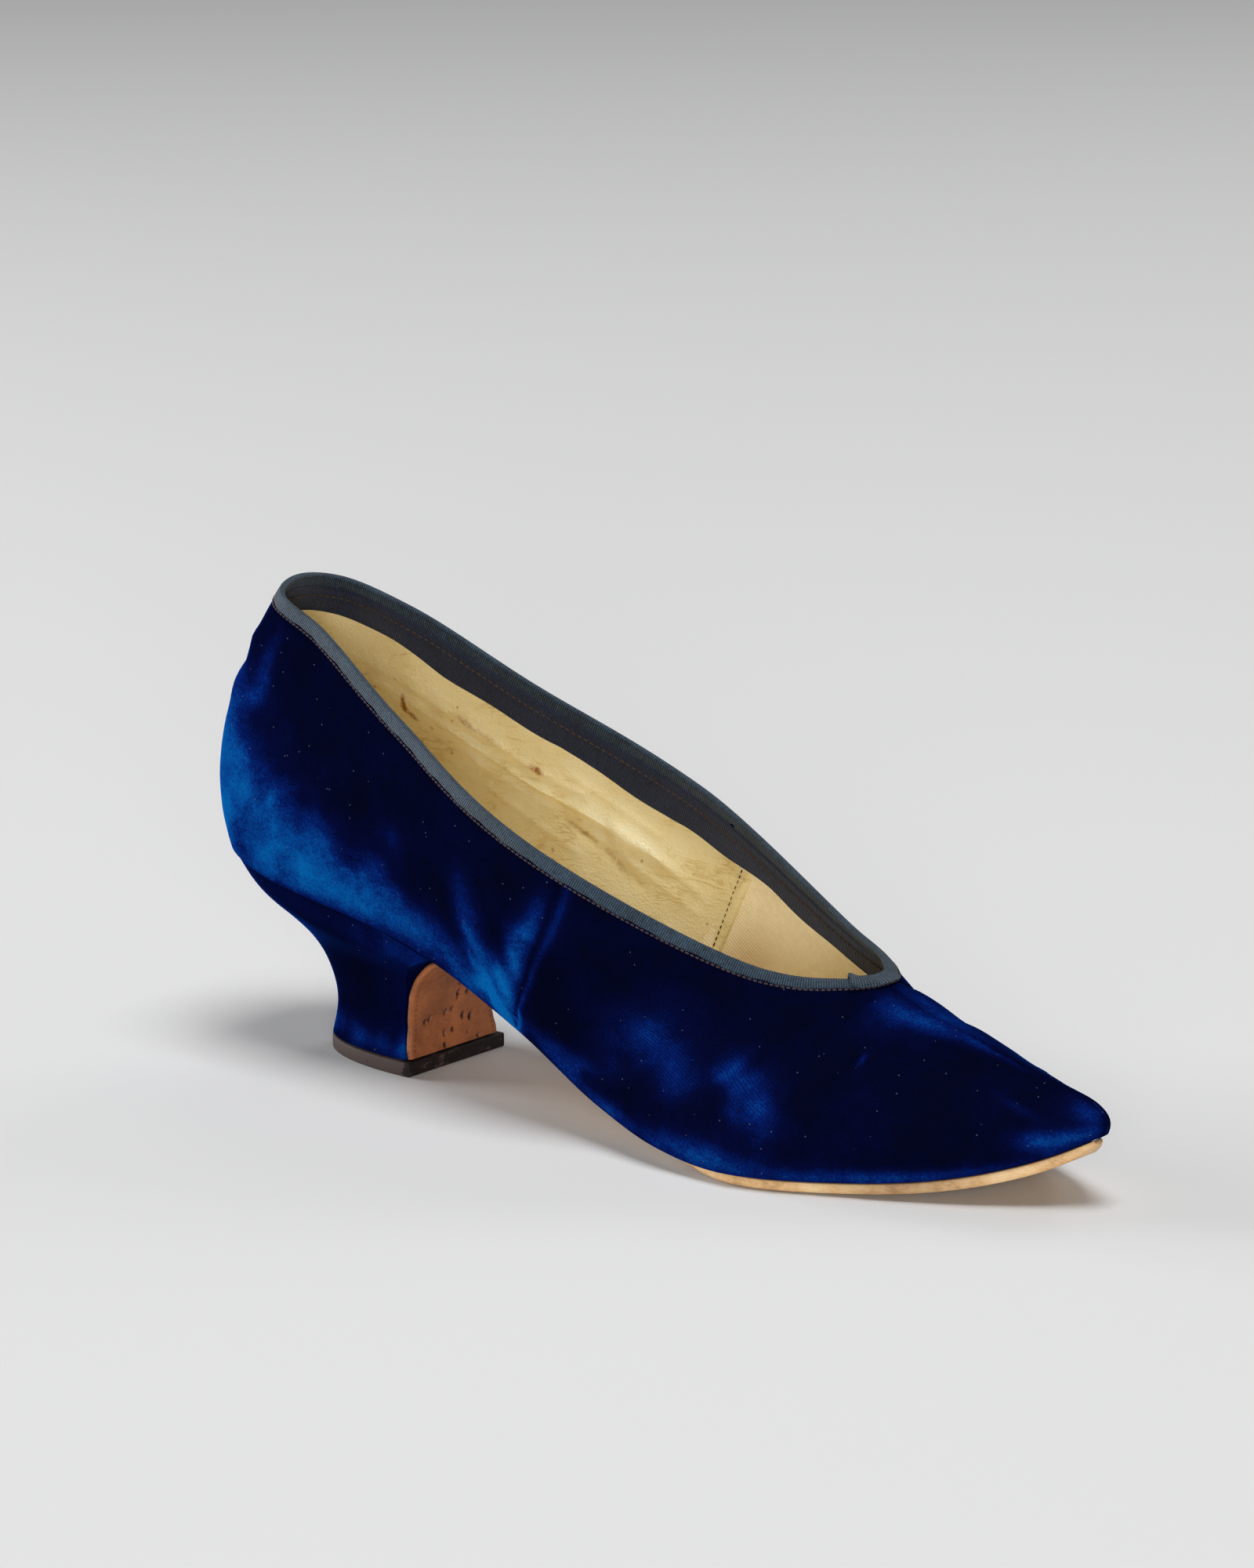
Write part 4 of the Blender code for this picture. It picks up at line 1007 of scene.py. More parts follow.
class COURT_SHOE_OT_linings(bpy.types.Operator):
    """Kid lining of the quarters with its creases and stains, and the twill lining of the vamp"""
    bl_idname = "court_shoe.linings"
    bl_label = "Linings"

    def execute(self, context):
        sizes = context.scene.court_shoe_sizes
        colours = colours_of(context)
        rows = np.linspace(LINING_FOOT, LINING_TOP, 64)

        def quarter(share, rise):
            return share * np.interp(rise, KID_SEAM["rise"], KID_SEAM["girth"])

        def kid_place(share, rise):
            girth = quarter(share, rise)
            points, normals = wall_frame(girth, rise)
            wobbling = clouds(points, 6 * MM, 3.0)
            height = 1.6 * creases(KID_CREASES, girth, rise, wobbling, sharp=True)
            height += 0.25 * MM * clouds(points, 12 * MM, 8.0) + 0.10 * MM * clouds(points, 4 * MM, 6.0)
            height += 0.55 * MM * bell(seam_gap(girth, rise, KID_SEAM) + 0.6 * MM, 0.9 * MM)
            settled = fade(rise, 0.0, 0.06) * (1.0 - fade(rise, 0.64, 0.75))
            return points - normals * (WALL + (height + 0.1 * MM) * settled)[:, None]

        def mark(wanted):
            def value(share, rise):
                girth = quarter(share, rise)
                points = wall_at(girth, rise)
                wobbling = 0.6 * clouds(points, 3 * MM, 2.0)
                return patches(KID_MARKS, STAIN_COLUMNS, wanted, girth, rise, wobbling)
            return value

        def soil(share, rise):
            girth = quarter(share, rise)
            low = creases(KID_CREASES, girth, rise, 0.0 * girth, sharp=True) / MM
            # Painted shade in the troughs of the creases and towards the foot of the wall
            return np.clip(-low, 0.0, 1.0) + 0.5 * bell(rise, 0.12)

        bm = bmesh.new()
        grid(bm, np.linspace(-1.0, 1.0, 300), rows, kid_place, stain=mark("stain"), gloss=mark("gloss"),
             soil=soil)
        finish_piece("kid_quarter_lining", bm, kid("glazed kid", colours),
                     shell=-sizes.kid_thick)

        def past_throat(girth):
            return fade(abs(girth), THROAT - 1.5 * MM, THROAT)

        def vamp_rise(girth, row):
            return row * (LINING_TOP + (1.0 - LINING_TOP) * past_throat(girth))

        def vamp_place(girth, row):
            rise = vamp_rise(girth, row)
            points, normals = vamp_frame(girth, rise)
            tip = fade(abs(girth), TOE - 0.03, TOE)
            under = fade(row, 0.86, 0.97) * (1.0 - past_throat(girth))
            inset = WALL + (0.02 - 0.6 * tip - 0.75 * under) * MM + instep_dip(girth, rise)
            return points - normals * inset[:, None]

        def vamp_stain(girth, row):
            return 0.7 * bell(abs(girth) - 0.137, 6 * MM) * bell(vamp_rise(girth, row) - 0.3, 0.2)

        start = KID_SEAM["girth"].min() - 3 * MM
        ahead = np.unique(np.concatenate((np.linspace(start, TOE - 0.004, 90),
                                           np.linspace(THROAT - 1.6 * MM, THROAT, 5))))
        bm = bmesh.new()
        for columns in (ahead, -ahead[::-1]):
            grid(bm, columns, np.linspace(LINING_FOOT, 1.0, 40), vamp_place, stain=vamp_stain)
        finish_piece("twill_vamp_lining", bm, twill("cotton twill", colours), weld=0.2 * MM,
                     shell=-sizes.kid_thick)
        return {"FINISHED"}


def wall_tree(offset, lowest):
    """Search tree of the wall from a lowest rise, at an offset from its outside."""
    def place(girth, rise):
        points, normals = wall_frame(girth, rise)
        return points + normals * offset
    bm = bmesh.new()
    columns = np.unique(np.concatenate((np.linspace(-TOE, TOE, 270), (-THROAT, THROAT))))
    grid(bm, columns, np.linspace(lowest, 1.0, 60), place)
    bmesh.ops.remove_doubles(bm, verts=bm.verts, dist=0.05 * MM)
    tree = BVHTree.FromBMesh(bm)
    bm.free()
    return tree


class COURT_SHOE_OT_insole(bpy.types.Operator):
    """Kid-covered insole on the bed of the shoe"""
    bl_idname = "court_shoe.insole"
    bl_label = "Insole"

    def execute(self, context):
        surface = wall_tree(-WALL, 0.0)
        seat = Vector((0.03, 0.0, bed_height(0.0) + INSOLE_TOP)) - Vector(MIDDLE)
        back = surface.ray_cast(seat, Vector((-1.0, 0.0, 0.0)))[0].x + MIDDLE[0] + 0.2 * MM
        x = back + (LAST["along"][-1] - 0.006 - back) * np.linspace(0.0, 1.0, 140) ** 1.6
        top = bed_height(x) + INSOLE_TOP
        reach = {side: np.array([self.room(surface, side, at, high) for at, high in zip(x, top)])
                 for side in (-1.0, 1.0)}

        def place(at, across):
            width = np.where(across < 0.0, np.interp(at, x, reach[-1.0]), np.interp(at, x, reach[1.0]))
            y = -MIDDLE[1] + across * width
            dish = (0.25 * MM - 0.06 * MM * np.sin(at * 900.0)) * (1.0 - across ** 2)
            z = bed_height(at) + INSOLE_TOP - dish
            return np.stack((at - MIDDLE[0], y, z), axis=1)

        def nothing(at, across):
            return 0.0 * at

        bm = bmesh.new()
        # Painted shade: the sock is darker all over, deep in the shoe, and more so along its edges against
        # the wall
        grid(bm, x, np.linspace(-1.0, 1.0, 31), place, stain=nothing, gloss=nothing,
             soil=lambda at, across: 0.35 + 0.5 * across ** 8)
        finish_piece("insole_sock", bm, kid("kid sock", colours_of(context)),
                     replaces=("insole",), shell=-0.9 * MM)
        return {"FINISHED"}

    def room(self, surface, side, x, z):
        """Half width clear of the wall at x and z."""
        start = Vector((x - MIDDLE[0], -MIDDLE[1], z))
        point, _, _, distance = surface.ray_cast(start, Vector((0.0, side, 0.0)))
        if point is None:
            raise RuntimeError("the upper has no wall beside the insole at x = %.4f" % x)
        return max(distance - 0.15 * MM, 0.4 * MM)


class Collar:
    """The collar as a run of points from the throat round the back to the throat, with its directions."""

    def __init__(self):
        girth = np.linspace(-THROAT, THROAT, 4001)
        length = run_along(wall_at(girth, np.ones_like(girth)))
        self.length = length[-1]
        self.run = np.linspace(0.0, self.length, COLLAR_POINTS)
        self.girth = np.interp(self.run, length, girth)
        rise = np.ones(COLLAR_POINTS)
        self.edge = wall_at(self.girth, rise)
        _, normal = wall_frame(self.girth, rise * 0.985)
        normal[0] = normal[-1] = unit(normal[0] + normal[-1])
        ahead = np.vstack((self.edge[1:], self.edge[1:2]))
        behind = np.vstack((self.edge[-2:-1], self.edge[:-1]))
        along = unit(ahead - behind)
        down = wall_at(self.girth, rise * 0.9) - self.edge
        down[0] = down[-1] = down[0] + down[-1]
        self.normal = unit(self.settle(normal))
        into = np.cross(self.normal, along)
        into *= np.sign(np.sum(into * down, axis=1))[:, None]
        self.into = unit(self.settle(into))
        self.outside = wall_tree(0.0, 0.2)
        self.inside = wall_tree(-WALL, 0.2)

    def settle(self, values, rounds=6):
        """Values eased along the run, whose two ends are one place."""
        for _ in range(rounds):
            loop = values[:-1]
            loop = (np.roll(loop, 1, axis=0) + 2.0 * loop + np.roll(loop, -1, axis=0)) / 4.0
            values = np.vstack((loop, loop[:1]))
        return values

    def on_wall(self, depth, stand, inside=False):
        """The run moved depth down the wall and off it by stand, for each of its points."""
        depth = np.broadcast_to(depth, self.run.shape)
        stand = np.broadcast_to(stand, self.run.shape)
        if inside:
            stand = stand - EDGE_SKIVED * (1.0 - fade(depth, 1.5 * MM, 7.0 * MM))
        tree = self.inside if inside else self.outside
        away = -self.normal if inside else self.normal
        start = self.edge - self.normal * (WALL if inside else 0.0)
        points = []
        for spot, ahead, out, far, off in zip(start, self.into, away, depth, stand):
            spot, ahead, out = Vector(spot), Vector(ahead), Vector(out)
            steps = max(2, math.ceil(far / MM))
            for _ in range(steps):
                spot, face, _, _ = tree.find_nearest(spot + ahead * far / steps)
                ahead = (ahead - face * ahead.dot(face)).normalized()
                out = face if face.dot(out) > 0.0 else -face
            points.append(spot + out * off)
        return np.array(points)

    def over_edge(self, angle, stand):
        """The run turned over the edge: angle 0 is the outside and pi the inside."""
        half = (WALL - EDGE_SKIVED) / 2
        middle = self.edge - self.normal * half
        return (middle + self.normal * math.cos(angle) * (half + stand)
                - self.into * math.sin(angle) * (stand + 0.25 * MM))

    def section(self, sizes, extra=0.0):
        """Rows of the folded ribbon from its outer edge over the collar to its inner edge."""
        stand = sizes.ribbon_stand + extra
        slack = 1.0 + 0.05 * np.sin(self.run * 410.0) + 0.04 * np.sin(self.run * 1130.0)
        outside = ((1.0, 0.35), (0.965, 0.75), (0.89, 1.0), (0.73, 1.08), (0.55, 1.08), (0.37, 1.03),
                   (0.2, 1.0))
        inside = ((0.18, 1.0), (0.34, 1.0), (0.52, 0.96), (0.70, 0.92), (0.88, 0.8), (1.0, 0.4))
        rows = [self.on_wall((sizes.ribbon_outside + extra) * slack * share, stand * lift)
                for share, lift in outside]
        rows += [self.over_edge(angle, stand) for angle in np.radians(np.linspace(15.0, 165.0, 11))]
        rows += [self.on_wall(sizes.ribbon_inside * slack * share, stand * lift, inside=True)
                 for share, lift in inside]
        return np.array([self.settle(row, 2) for row in rows])


def ribbon_sheet(bm, rows, order, run, worn):
    """Ribbon through rows of points, along columns taken in order."""
    depth = run_along(rows[:, len(run) // 2])
    step = run[1] - run[0]
    columns = np.arange(float(len(order)))
    levels = np.arange(float(len(rows)))

    def place(column, level):
        return rows[level.astype(int), order[column.astype(int)]]

    grid(bm, columns, levels, place, flip=True,
         run=lambda column, level: column * step,
         depth=lambda column, level: depth[level.astype(int)],
         worn=lambda column, level: worn(level / levels[-1]))


class COURT_SHOE_OT_collar_ribbon(bpy.types.Operator):
    """Ribbon folded over the collar with its lapped end at the throat, and the ribbon facing inside"""
    bl_idname = "court_shoe.collar_ribbon"
    bl_label = "Collar ribbon"

    def execute(self, context):
        sizes = context.scene.court_shoe_sizes
        colours = colours_of(context)
        collar = Collar()
        ribbon = grosgrain("slate grosgrain ribbon", colours["ribbon_dark"], colours["ribbon_light"])
        whole = np.arange(COLLAR_POINTS)
        folded = collar.section(sizes)
        bm = bmesh.new()
        # Painted shade: darker over the inside of the fold and on the inner leg, inside the shoe
        ribbon_sheet(bm, folded, whole, collar.run, lambda t: -0.04 - 0.10 * fade(t, 0.55, 0.72))
        finish_piece("collar_ribbon", bm, ribbon, replaces=("collar_binding",),
                     shell=-sizes.ribbon_thick)
        before, after = int(LAP_FAR / collar.run[1]), int(LAP_NEAR / collar.run[1])
        lap = np.concatenate((whole[-1 - before:-1], whole[:after]))
        rows = collar.section(sizes, extra=LAP_RISE)
        fold = 0.9 * MM * bell(collar.run - LAP_NEAR + 1.0 * MM, 1.2 * MM)
        rows += (collar.normal * fold[:, None])[None]
        crumpled = [0.22 * MM * clouds(row, 1.8 * MM, 2.0) for row in rows]
        rows += np.array([collar.normal * height[:, None] for height in crumpled])
        near, far = collar.run, collar.length - collar.run
        tucked = np.where(near < far, fade(near, LAP_NEAR - 0.8 * MM, LAP_NEAR + 0.1 * MM),
                          fade(far, LAP_FAR - 1.7 * MM, LAP_FAR + 0.1 * MM))
        rows += (folded - rows) * (1.15 * tucked)[None, :, None]
        bm = bmesh.new()
        # Painted shade on the lap as well, over the inside of its fold and on its inner leg
        ribbon_sheet(bm, rows[1:-2], lap, collar.run, lambda t: -0.06 - 0.08 * fade(t, 0.6, 0.8))
        finish_piece("ribbon_lap", bm, ribbon, shell=-2.0 * sizes.ribbon_thick)
        facing = grosgrain("navy ribbon facing", colours["facing_dark"], colours["facing_light"])
        deepest = np.interp(abs(collar.girth), FACING["girth"], FACING["depth"])
        deepest = deepest + 0.35 * MM * np.sin(collar.run * 230.0)
        rows = [collar.on_wall(FACING_START + (deepest - FACING_START) * share, stand, inside=True)
                for share, stand in ((0.0, 0.5 * MM), (0.1, 0.75 * MM), (0.2, 0.6 * MM), (0.35, 0.55 * MM),
                                     (0.5, 0.55 * MM), (0.65, 0.55 * MM), (0.8, 0.6 * MM), (0.9, 0.7 * MM),
                                     (0.97, 0.8 * MM), (1.0, 0.45 * MM))]
        bm = bmesh.new()
        ribbon_sheet(bm, np.array([collar.settle(row, 4) for row in rows]), whole, collar.run,
                     lambda t: 0.10 * bell(t - 0.97, 0.04) - 0.02)
        finish_piece("ribbon_facing", bm, facing, shell=-0.4 * MM)
        return {"FINISHED"}


def stitch_line(bm, points, normals, pitch, length, thick):
    """Row of stitches along points: a small oval for each, a little sunk in the surface."""
    run = run_along(points)

    def read(at, values):
        return np.array([np.interp(at, run, column) for column in values.T])

    for at in np.arange(pitch / 2, run[-1], pitch):
        centre = read(at, points)
        along = Vector(unit(read(at + 0.3 * MM, points) - centre))
        up = Vector(unit(read(at, normals)))
        across = up.cross(along).normalized()
        lying = Matrix((along, across, along.cross(across))).transposed().to_4x4()
        scaled = Matrix.Diagonal((length / 2, thick / 2, thick / 2, 1.0))
        seat = Matrix.Translation(Vector(centre) - up * thick * STITCH_SUNK)
        bmesh.ops.create_uvsphere(bm, u_segments=6, v_segments=5, radius=1.0, matrix=seat @ lying @ scaled)


class COURT_SHOE_OT_stitches(bpy.types.Operator):
    """Stitches along the ribbon, along the facing and down the seam of the linings"""
    bl_idname = "court_shoe.stitches"
    bl_label = "Stitches"

    def execute(self, context):
        sizes = context.scene.court_shoe_sizes
        colours = colours_of(context)
        collar = Collar()
        outer = collar.on_wall(sizes.ribbon_outside + 0.35 * MM, 0.40 * MM)
        bm = bmesh.new()
        stitch_line(bm, collar.settle(outer), collar.normal, sizes.stitch_pitch, sizes.stitch_pitch * 0.9,
                    sizes.stitch_thick)
        plum = silk_thread("plum silk thread", colours["thread"])
        finish_piece("ribbon_stitches", bm, plum, weld=0.0)
        brown = silk_thread("brown silk thread", colours["brown_thread"])
        inner = collar.on_wall(FACING_STITCHES, 0.86 * MM, inside=True)
        bm = bmesh.new()
        stitch_line(bm, collar.settle(inner), -collar.normal, 1.7 * MM, 1.35 * MM, 0.5 * MM)
        rise = np.linspace(0.1, 0.8, 60)
        for side in (-1.0, 1.0):
            girth = side * (np.interp(rise, KID_SEAM["rise"], KID_SEAM["girth"]) - 1.8 * MM)
            points, normals = wall_frame(girth, rise)
            points = points - normals * (WALL + 0.32 * MM)
            stitch_line(bm, points, -normals, 1.5 * MM, 1.15 * MM, 0.4 * MM)
        finish_piece("lining_stitches", bm, brown, weld=0.0)
        return {"FINISHED"}


def heel_front(count):
    """Front edge of the heel in its centre plane, from the lift to the seat."""
    knots = np.arange(len(HEEL_SECTIONS) + 1.0)
    at = np.linspace(0.0, knots[-1], count)
    front = np.append(HEEL["front"][::-1], HEEL_SEAT_FRONT)
    height = np.append(HEEL["front_height"][::-1], bed_height(HEEL_SEAT_FRONT) - GAP)
    return np.stack((smooth(at, knots, front), smooth(at, knots, height)), axis=1)


class COURT_SHOE_OT_outsole(bpy.types.Operator):
    """Leather sole from the foot of the heel up its front, along the arch and out to the toe"""
    bl_idname = "court_shoe.outsole"
    bl_label = "Outsole"

    def execute(self, context):
        run, path, outwards, thick, outer, inner, flap_length = self.path()
        flap = np.arange(0.0, flap_length + 0.006, 0.3 * MM)
        columns = np.concatenate((flap, np.linspace(flap[-1], run[-1], 190)[1:]))
        inwards, downwards = np.array(SOLE_EDGE).T
        corner, bottom = np.ones(len(SOLE_EDGE)), np.ones(96)
        across = np.concatenate((-corner, np.linspace(-1.0, 1.0, len(bottom)), corner, (0.0, -1.0)))
        inset = np.concatenate((inwards, bottom, inwards[::-1], (0.0, inwards[0])))
        level = np.concatenate((downwards, bottom, downwards[::-1], (0.0, 0.0)))

        def spread(at, row):
            row = row.astype(int)
            left, right = np.interp(at, run, outer), np.interp(at, run, inner)
            shares = np.minimum(inset[row] * MM, 0.4 * np.minimum(left, right))
            y = np.where(across[row] < 0.0, across[row] * (left - shares), across[row] * (right - shares))
            return y, level[row]

        def holes(at, y):
            pit = 0.0 * at
            for hole in rows_of(HOLE_COLUMNS, WORM_HOLES, {"up": MM, "across": MM, "long": MM, "wide": MM}):
                long, wide = turned(at - hole["up"], y - hole["across"], hole["slant"])
                away = np.hypot(long / (hole["long"] / 2), wide / (hole["wide"] / 2))
                pit = np.maximum(pit, 1.0 - fade(away, 0.95, 1.3))
            return pit

        def place(at, row):
            y, down = spread(at, row)
            pit = holes(at, y) * (down > 0.99)
            depth = down * np.interp(at, run, thick) - 0.7 * MM * pit
            worn = 0.05 * MM * np.sin(at * 1300.0) * (down > 0.3) * (down < 0.95)
            x = np.interp(at, run, path[:, 0]) + np.interp(at, run, outwards[:, 0]) * depth
            z = np.interp(at, run, path[:, 1]) + np.interp(at, run, outwards[:, 1]) * depth
            z = np.where(pit > 0.0, z, np.maximum(z, np.where(at < flap_length, LIFT_THICK + GAP, 0.0)))
            return np.stack((x, y + worn, z), axis=1) - MIDDLE

        # Mask for the painted shade in the worm holes
        def hole(at, row):
            y, down = spread(at, row)
            return holes(at, y) * (down > 0.99)

        def seam(at, row):
            y, down = spread(at, row)
            stitched = bell(np.minimum(abs(y + np.interp(at, run, outer) - 1.6 * MM),
                                       abs(np.interp(at, run, inner) - y - 1.6 * MM)), 0.3 * MM)
            pricked = 0.6 * stitched * (np.sin(at * 2 * math.pi / (1.3 * MM)) > 0.0) * (at < flap_length)
            darkened = 0.38 * bell(run[-1] - at - 0.036, 0.014) * (down < 0.99)
            lined = (1.0 - fade(down, 0.05, 0.17)) * (at > flap_length)
            return np.maximum(np.maximum(lined, darkened), pricked * (down > 0.9))

        bm = bmesh.new()
        grid(bm, columns, np.arange(float(len(across))), place, hole=hole, seam=seam,
             flap=lambda at, row: 1.0 - fade(at, flap_length - 0.004, flap_length + 0.012))
        bmesh.ops.remove_doubles(bm, verts=bm.verts, dist=0.02 * MM)
        bmesh.ops.holes_fill(bm, edges=[edge for edge in bm.edges if edge.is_boundary], sides=0)
        bmesh.ops.recalc_face_normals(bm, faces=bm.faces)
        finish_piece("leather_sole", bm, sole_leather("oak-tanned sole leather", colours_of(context)),
                     replaces=("outsole",), crisp=60.0)
        return {"FINISHED"}

    def path(self):
        """Run, path in the centre plane, its outward normals, thickness, half widths and flap length."""
        breast = (heel_front(40) + (GAP, -GAP))[:-4]
        breast[0, 1] = LIFT_THICK + GAP
        girth = np.linspace(0.0, TOE, 300)
        edges = {}
        for side in (-1.0, 1.0):
            line = feather(side * girth) + MIDDLE
            line -= plan_normal(side * girth) * smooth(line[:, 0], SOLE["along"], SOLE["tuck"])[:, None]
            edges[side] = line
        tip = min(edges[-1.0][:, 0].max(), edges[1.0][:, 0].max()) - 0.9 * MM
        x = np.linspace(SOLE_JOIN + 0.004, tip, 120)
        arch = np.stack((x, bed_height(x) - 0.12 * MM), axis=1)
        path = np.concatenate((breast, arch))
        for _ in range(12):
            path[1:-1] = (path[:-2] + 2.0 * path[1:-1] + path[2:]) / 4.0
        run = run_along(path)
        slope = np.gradient(path, run, axis=0)
        outwards = unit(np.stack((slope[:, 1], -slope[:, 0]), axis=1))
        thick = smooth(path[:, 0], SOLE["along"], SOLE["thick"])
        flap_length = run[len(breast) - 1]
        flap = 1.0 - fade(run, flap_length + 0.002, flap_length + 0.020)
        halves = []
        for side in (-1.0, 1.0):
            edge = abs(np.interp(path[:, 0], edges[side][:, 0], edges[side][:, 1]))
            foot = np.interp(path[:, 1], HEEL["front_height"][::-1], HEEL["half"][::-1]) - 0.2 * MM
            leather = np.minimum(foot, FLAP_HALF)
            halves.append(np.maximum(edge * (1.0 - flap) + np.minimum(edge, leather) * flap, 0.5 * MM))
        return run, path, outwards, thick, *halves, flap_length


def d_outline(squareness, count):
    """Unit D: 0 at the flat front to 1 at the back, and -1 to 1 across, from side to side."""
    angle = np.linspace(-np.pi / 2, np.pi / 2, count)
    along = np.cos(angle).clip(0.0) ** (2 / squareness)
    across = np.sign(angle) * abs(np.sin(angle)) ** (2 / squareness)
    return along, across


class COURT_SHOE_OT_heel(bpy.types.Operator):
    """Velvet-covered heel, waisted, under the heel seat"""
    bl_idname = "court_shoe.heel"
    bl_label = "Heel"

    def execute(self, context):
        count = 121
        along, across = d_outline(HEEL_SEAT_SQUARENESS, count)
        x = HEEL_SEAT_FRONT + (LAST["along"][0] - HEEL_SEAT_FRONT) * along
        y = np.where(across < 0.0, -half_width(-1, x), half_width(1, x))
        sections = [np.stack((x, y, bed_height(x) - GAP), axis=1)]
        for back, back_height, front, front_height, half, square in HEEL_SECTIONS:
            along, across = d_outline(square, count)
            sections.append(np.stack((front + (back - front) * along, half * across,
                                      front_height + (back_height - front_height) * along), axis=1))
        table = np.array(sections)
        knots = np.arange(float(len(table)))
        rows = np.linspace(0.0, knots[-1], 72)
        points = np.array([[smooth(rows, knots, table[:, column, axis]) for axis in range(3)]
                           for column in range(count)])

        def block(column, row):
            level = np.rint(row / knots[-1] * (len(rows) - 1)).astype(int)
            return points[column.astype(int), :, level] - MIDDLE

        def place(column, row):
            spot = block(column, row)
            away = unit((spot + MIDDLE - (HEEL_MIDDLE, 0.0, 0.0)) * (1.0, 1.0, 0.0))
            cloth = 0.16 * MM * clouds(spot, 11 * MM, 3.0) * fade(row, 0.1, 0.6) * (1.0 - fade(row, 5.4, 6.0))
            waves = np.sin(column * 0.5 + 3.0 * clouds(spot, 14 * MM, 6.0))
            folds = 0.10 * MM * bell(row - 5.2, 0.5) * waves
            roll = 0.30 * MM * bell(row - 5.85, 0.25)
            inner = (column > 1) * (column < count - 2)
            covered = (cloth + folds + roll - 0.5 * MM * bell(row, 0.35)) * inner
            return spot + away * covered[:, None]

        def nap(column, row):
            turn = column / count
            # Painted highlights of the sheen: a band below the seat, a rim down the back, the outer front
            # corner, and a fainter band along the foot
            brushed_and_sheen = 0.26 * bell(row - 5.6, 0.45) + 0.24 * bell(turn - 0.56, 0.12) + 0.14 * bell(turn, 0.05)
            mottled = 1.0 + 0.8 * clouds(block(column, row), 6 * MM, 5.0)
            return brushed_and_sheen * mottled + 0.10 * bell(row - 0.4, 0.5)

        bm = bmesh.new()
        grid(bm, np.arange(float(count)), rows, place, nap=nap, crush=lambda column, row: 0.0 * row)
        ease(bm, [vert for vert in bm.verts if not vert.is_boundary], 30)
        rims = [edge for edge in bm.edges if edge.is_boundary]
        bmesh.ops.bridge_loops(bm, edges=[edge for edge in rims if self.on_front(edge)])
        bmesh.ops.holes_fill(bm, edges=[edge for edge in bm.edges if edge.is_boundary], sides=0)
        bmesh.ops.recalc_face_normals(bm, faces=bm.faces)
        finish_piece("heel_cover", bm, velvet("heel velvet", colours_of(context)),
                     replaces=("heel",))
        return {"FINISHED"}

    def on_front(self, edge):
        """Whether an edge runs up one of the two front corners."""
        ends = [vert.co + Vector(MIDDLE) for vert in edge.verts]
        steep = abs(ends[0].z - ends[1].z) > abs(ends[0].y - ends[1].y) * 0.5
        return steep and all(end.x > HEEL_CORNERS for end in ends)


class COURT_SHOE_OT_top_lift(bpy.types.Operator):
    """Leather top lift under the heel, a little proud of it and worn round at its edges"""
    bl_idname = "court_shoe.top_lift"
    bl_label = "Top lift"

    def execute(self, context):
        count = 96
        along, across = d_outline(LIFT_SQUARENESS, count)
        bm = bmesh.new()
        ring = bmesh.ops.create_circle(bm, cap_ends=True, segments=count, radius=1.0)["verts"]
        for vert, back, side in zip(ring, along, across):
            vert.co = Vector((LIFT_FRONT - LIFT_LENGTH * back, LIFT_WIDTH / 2 * side, 0.0)) - Vector(MIDDLE)
        extruded = bmesh.ops.extrude_face_region(bm, geom=list(bm.faces))["geom"]
        raised = [made for made in extruded if isinstance(made, bmesh.types.BMVert)]
        bmesh.ops.translate(bm, vec=(0.0, 0.0, LIFT_THICK), verts=raised)
        bmesh.ops.recalc_face_normals(bm, faces=bm.faces)
        rims = [edge for edge in bm.edges if edge.calc_face_angle(0.0) > 0.6]
        bmesh.ops.bevel(bm, geom=rims, offset=0.45 * MM, offset_type="OFFSET", segments=3, profile=0.5,
                        affect="EDGES", material=-1, clamp_overlap=True)
        rubbed = bm.verts.layers.float.new("rubbed")
        for vert in bm.verts:
            vert[rubbed] = float(vert.co.x + MIDDLE[0] < LIFT_FRONT - 1.6 * MM)
        finish_piece("leather_top_lift", bm, lift_leather("stained heel leather", colours_of(context)),
                     replaces=("top_lift",), crisp=35.0)
        return {"FINISHED"}


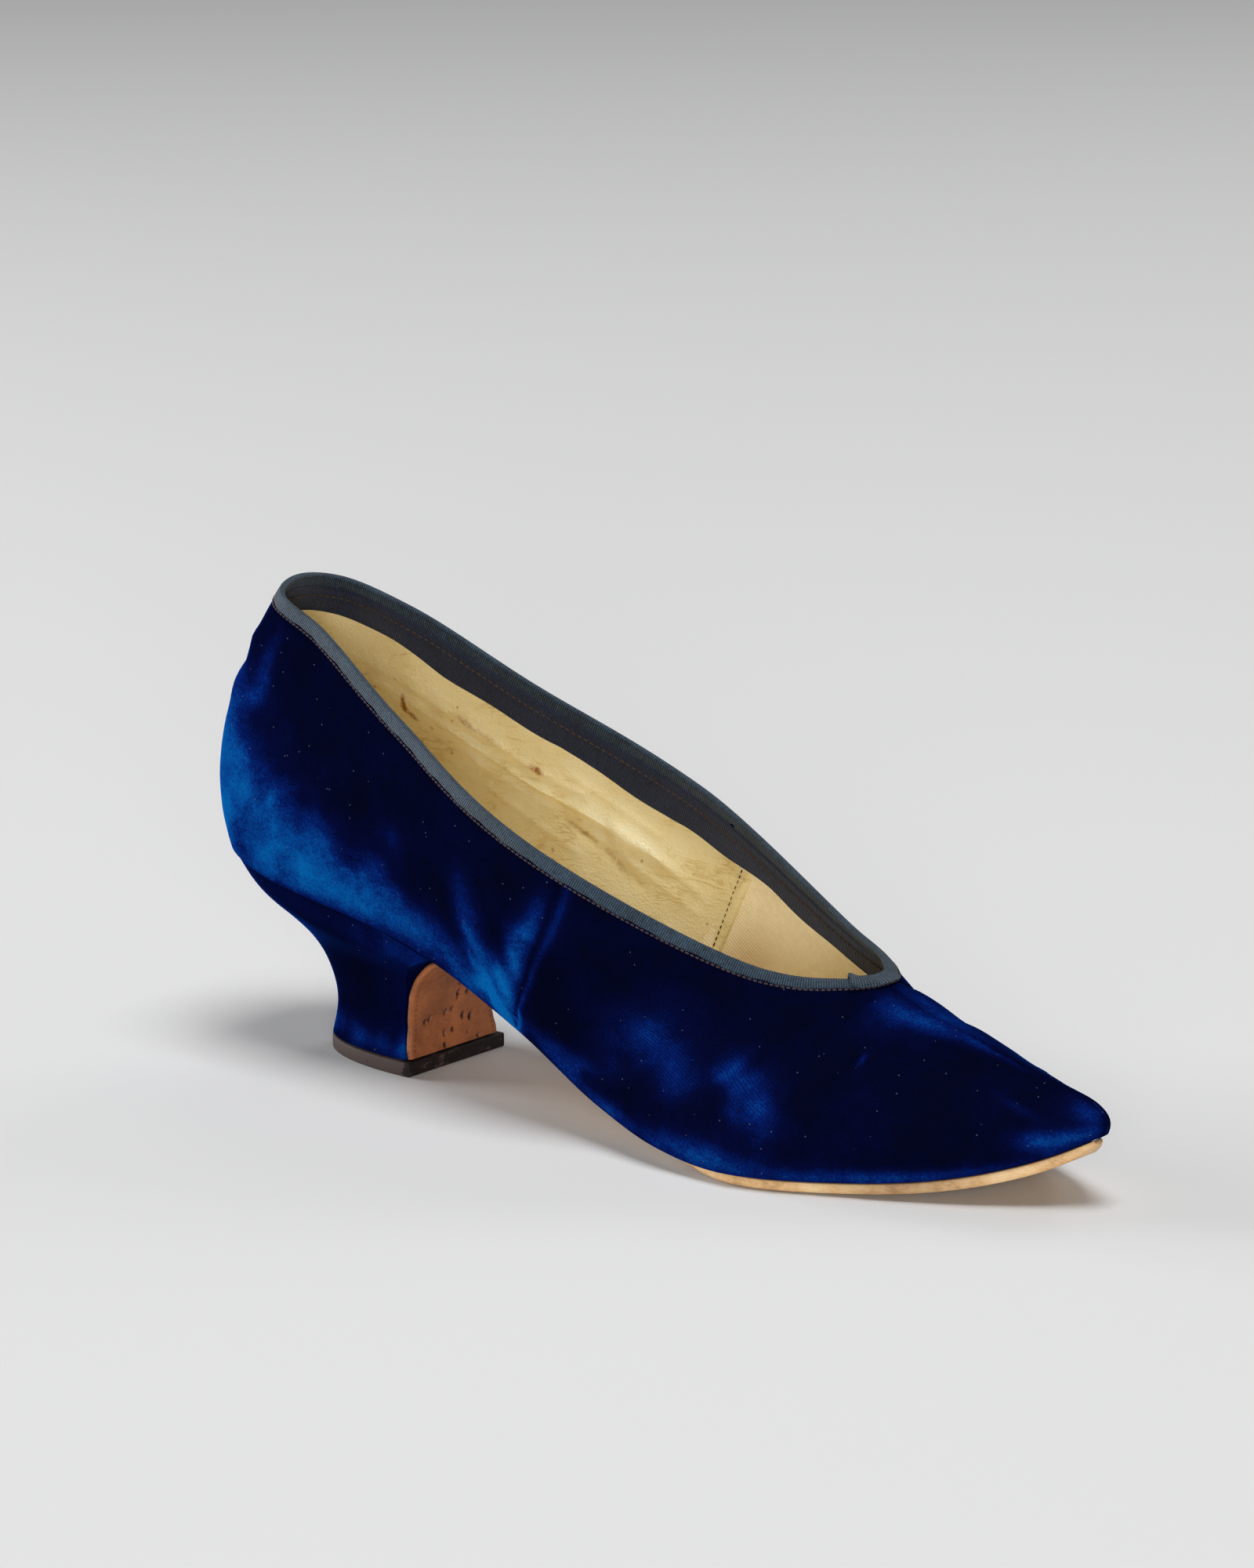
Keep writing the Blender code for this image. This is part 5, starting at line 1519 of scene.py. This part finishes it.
class COURT_SHOE_OT_stage(bpy.types.Operator):
    """Pale paper floor, soft studio light and the camera"""
    bl_idname = "court_shoe.stage"
    bl_label = "Stage"

    def execute(self, context):
        scene = context.scene
        bm = bmesh.new()
        bmesh.ops.create_grid(bm, x_segments=2, y_segments=2, size=6.0)
        mesh = bpy.data.meshes.new("floor")
        bm.to_mesh(mesh)
        bm.free()
        mesh.materials.append(paper_floor("studio paper", colours_of(context)["floor"]))
        floor = bpy.data.objects.new("floor", mesh)
        scene.collection.objects.link(floor)
        for name, (place, target, width, power) in LIGHTS.items():
            self.light(scene, name, place, target, width, power)
        world = bpy.data.worlds.new("studio")
        world.use_nodes = True
        background = world.node_tree.nodes["Background"]
        background.inputs["Color"].default_value = WORLD_COLOUR
        background.inputs["Strength"].default_value = WORLD_STRENGTH
        scene.world = world
        scene.view_settings.view_transform = "Standard"
        lens = bpy.data.cameras.new("camera")
        lens.sensor_width = CAMERA_SENSOR
        lens.lens = CAMERA_LENS
        lens.clip_end = 50.0
        camera = bpy.data.objects.new("camera", lens)
        camera.location = CAMERA_PLACE
        camera.rotation_euler = (math.pi / 2 - CAMERA_DOWN, 0.0, CAMERA_TURN)
        scene.collection.objects.link(camera)
        scene.camera = camera
        return {"FINISHED"}

    def light(self, scene, name, place, target, size, power):
        """Square softbox at a place, turned to a target."""
        lamp = bpy.data.lights.new(name, "AREA")
        lamp.size = size
        lamp.energy = power
        box = bpy.data.objects.new(name, lamp)
        box.location = place
        box.rotation_euler = (Vector(target) - Vector(place)).to_track_quat("-Z", "Y").to_euler()
        scene.collection.objects.link(box)


OPERATORS = (
    COURT_SHOE_OT_velvet_upper,
    COURT_SHOE_OT_linings,
    COURT_SHOE_OT_insole,
    COURT_SHOE_OT_collar_ribbon,
    COURT_SHOE_OT_stitches,
    COURT_SHOE_OT_outsole,
    COURT_SHOE_OT_heel,
    COURT_SHOE_OT_top_lift,
    COURT_SHOE_OT_stage,
)


class COURT_SHOE_PT_panel(bpy.types.Panel):
    """Pieces, sizes and colours of the shoe"""
    bl_label = "Court shoe"
    bl_idname = "COURT_SHOE_PT_panel"
    bl_space_type = "VIEW_3D"
    bl_region_type = "UI"
    bl_category = "Shoe"

    def draw(self, context):
        for operator in OPERATORS:
            self.layout.operator(operator.bl_idname)
        for group in (context.scene.court_shoe_sizes, context.scene.court_shoe_colours):
            for name in group.__annotations__:
                self.layout.prop(group, name)


CLASSES = (CourtShoeColours, CourtShoeSizes, *OPERATORS, COURT_SHOE_PT_panel)


def register():
    for cls in CLASSES:
        bpy.utils.register_class(cls)
    bpy.types.Scene.court_shoe_colours = PointerProperty(type=CourtShoeColours)
    bpy.types.Scene.court_shoe_sizes = PointerProperty(type=CourtShoeSizes)


def unregister():
    del bpy.types.Scene.court_shoe_sizes
    del bpy.types.Scene.court_shoe_colours
    for cls in reversed(CLASSES):
        bpy.utils.unregister_class(cls)


def main():
    register()
    bpy.ops.court_shoe.velvet_upper()
    bpy.ops.court_shoe.linings()
    bpy.ops.court_shoe.insole()
    bpy.ops.court_shoe.collar_ribbon()
    bpy.ops.court_shoe.stitches()
    bpy.ops.court_shoe.outsole()
    bpy.ops.court_shoe.heel()
    bpy.ops.court_shoe.top_lift()
    bpy.ops.court_shoe.stage()
    bpy.context.view_layer.update()


if __name__ == "__main__":
    main()
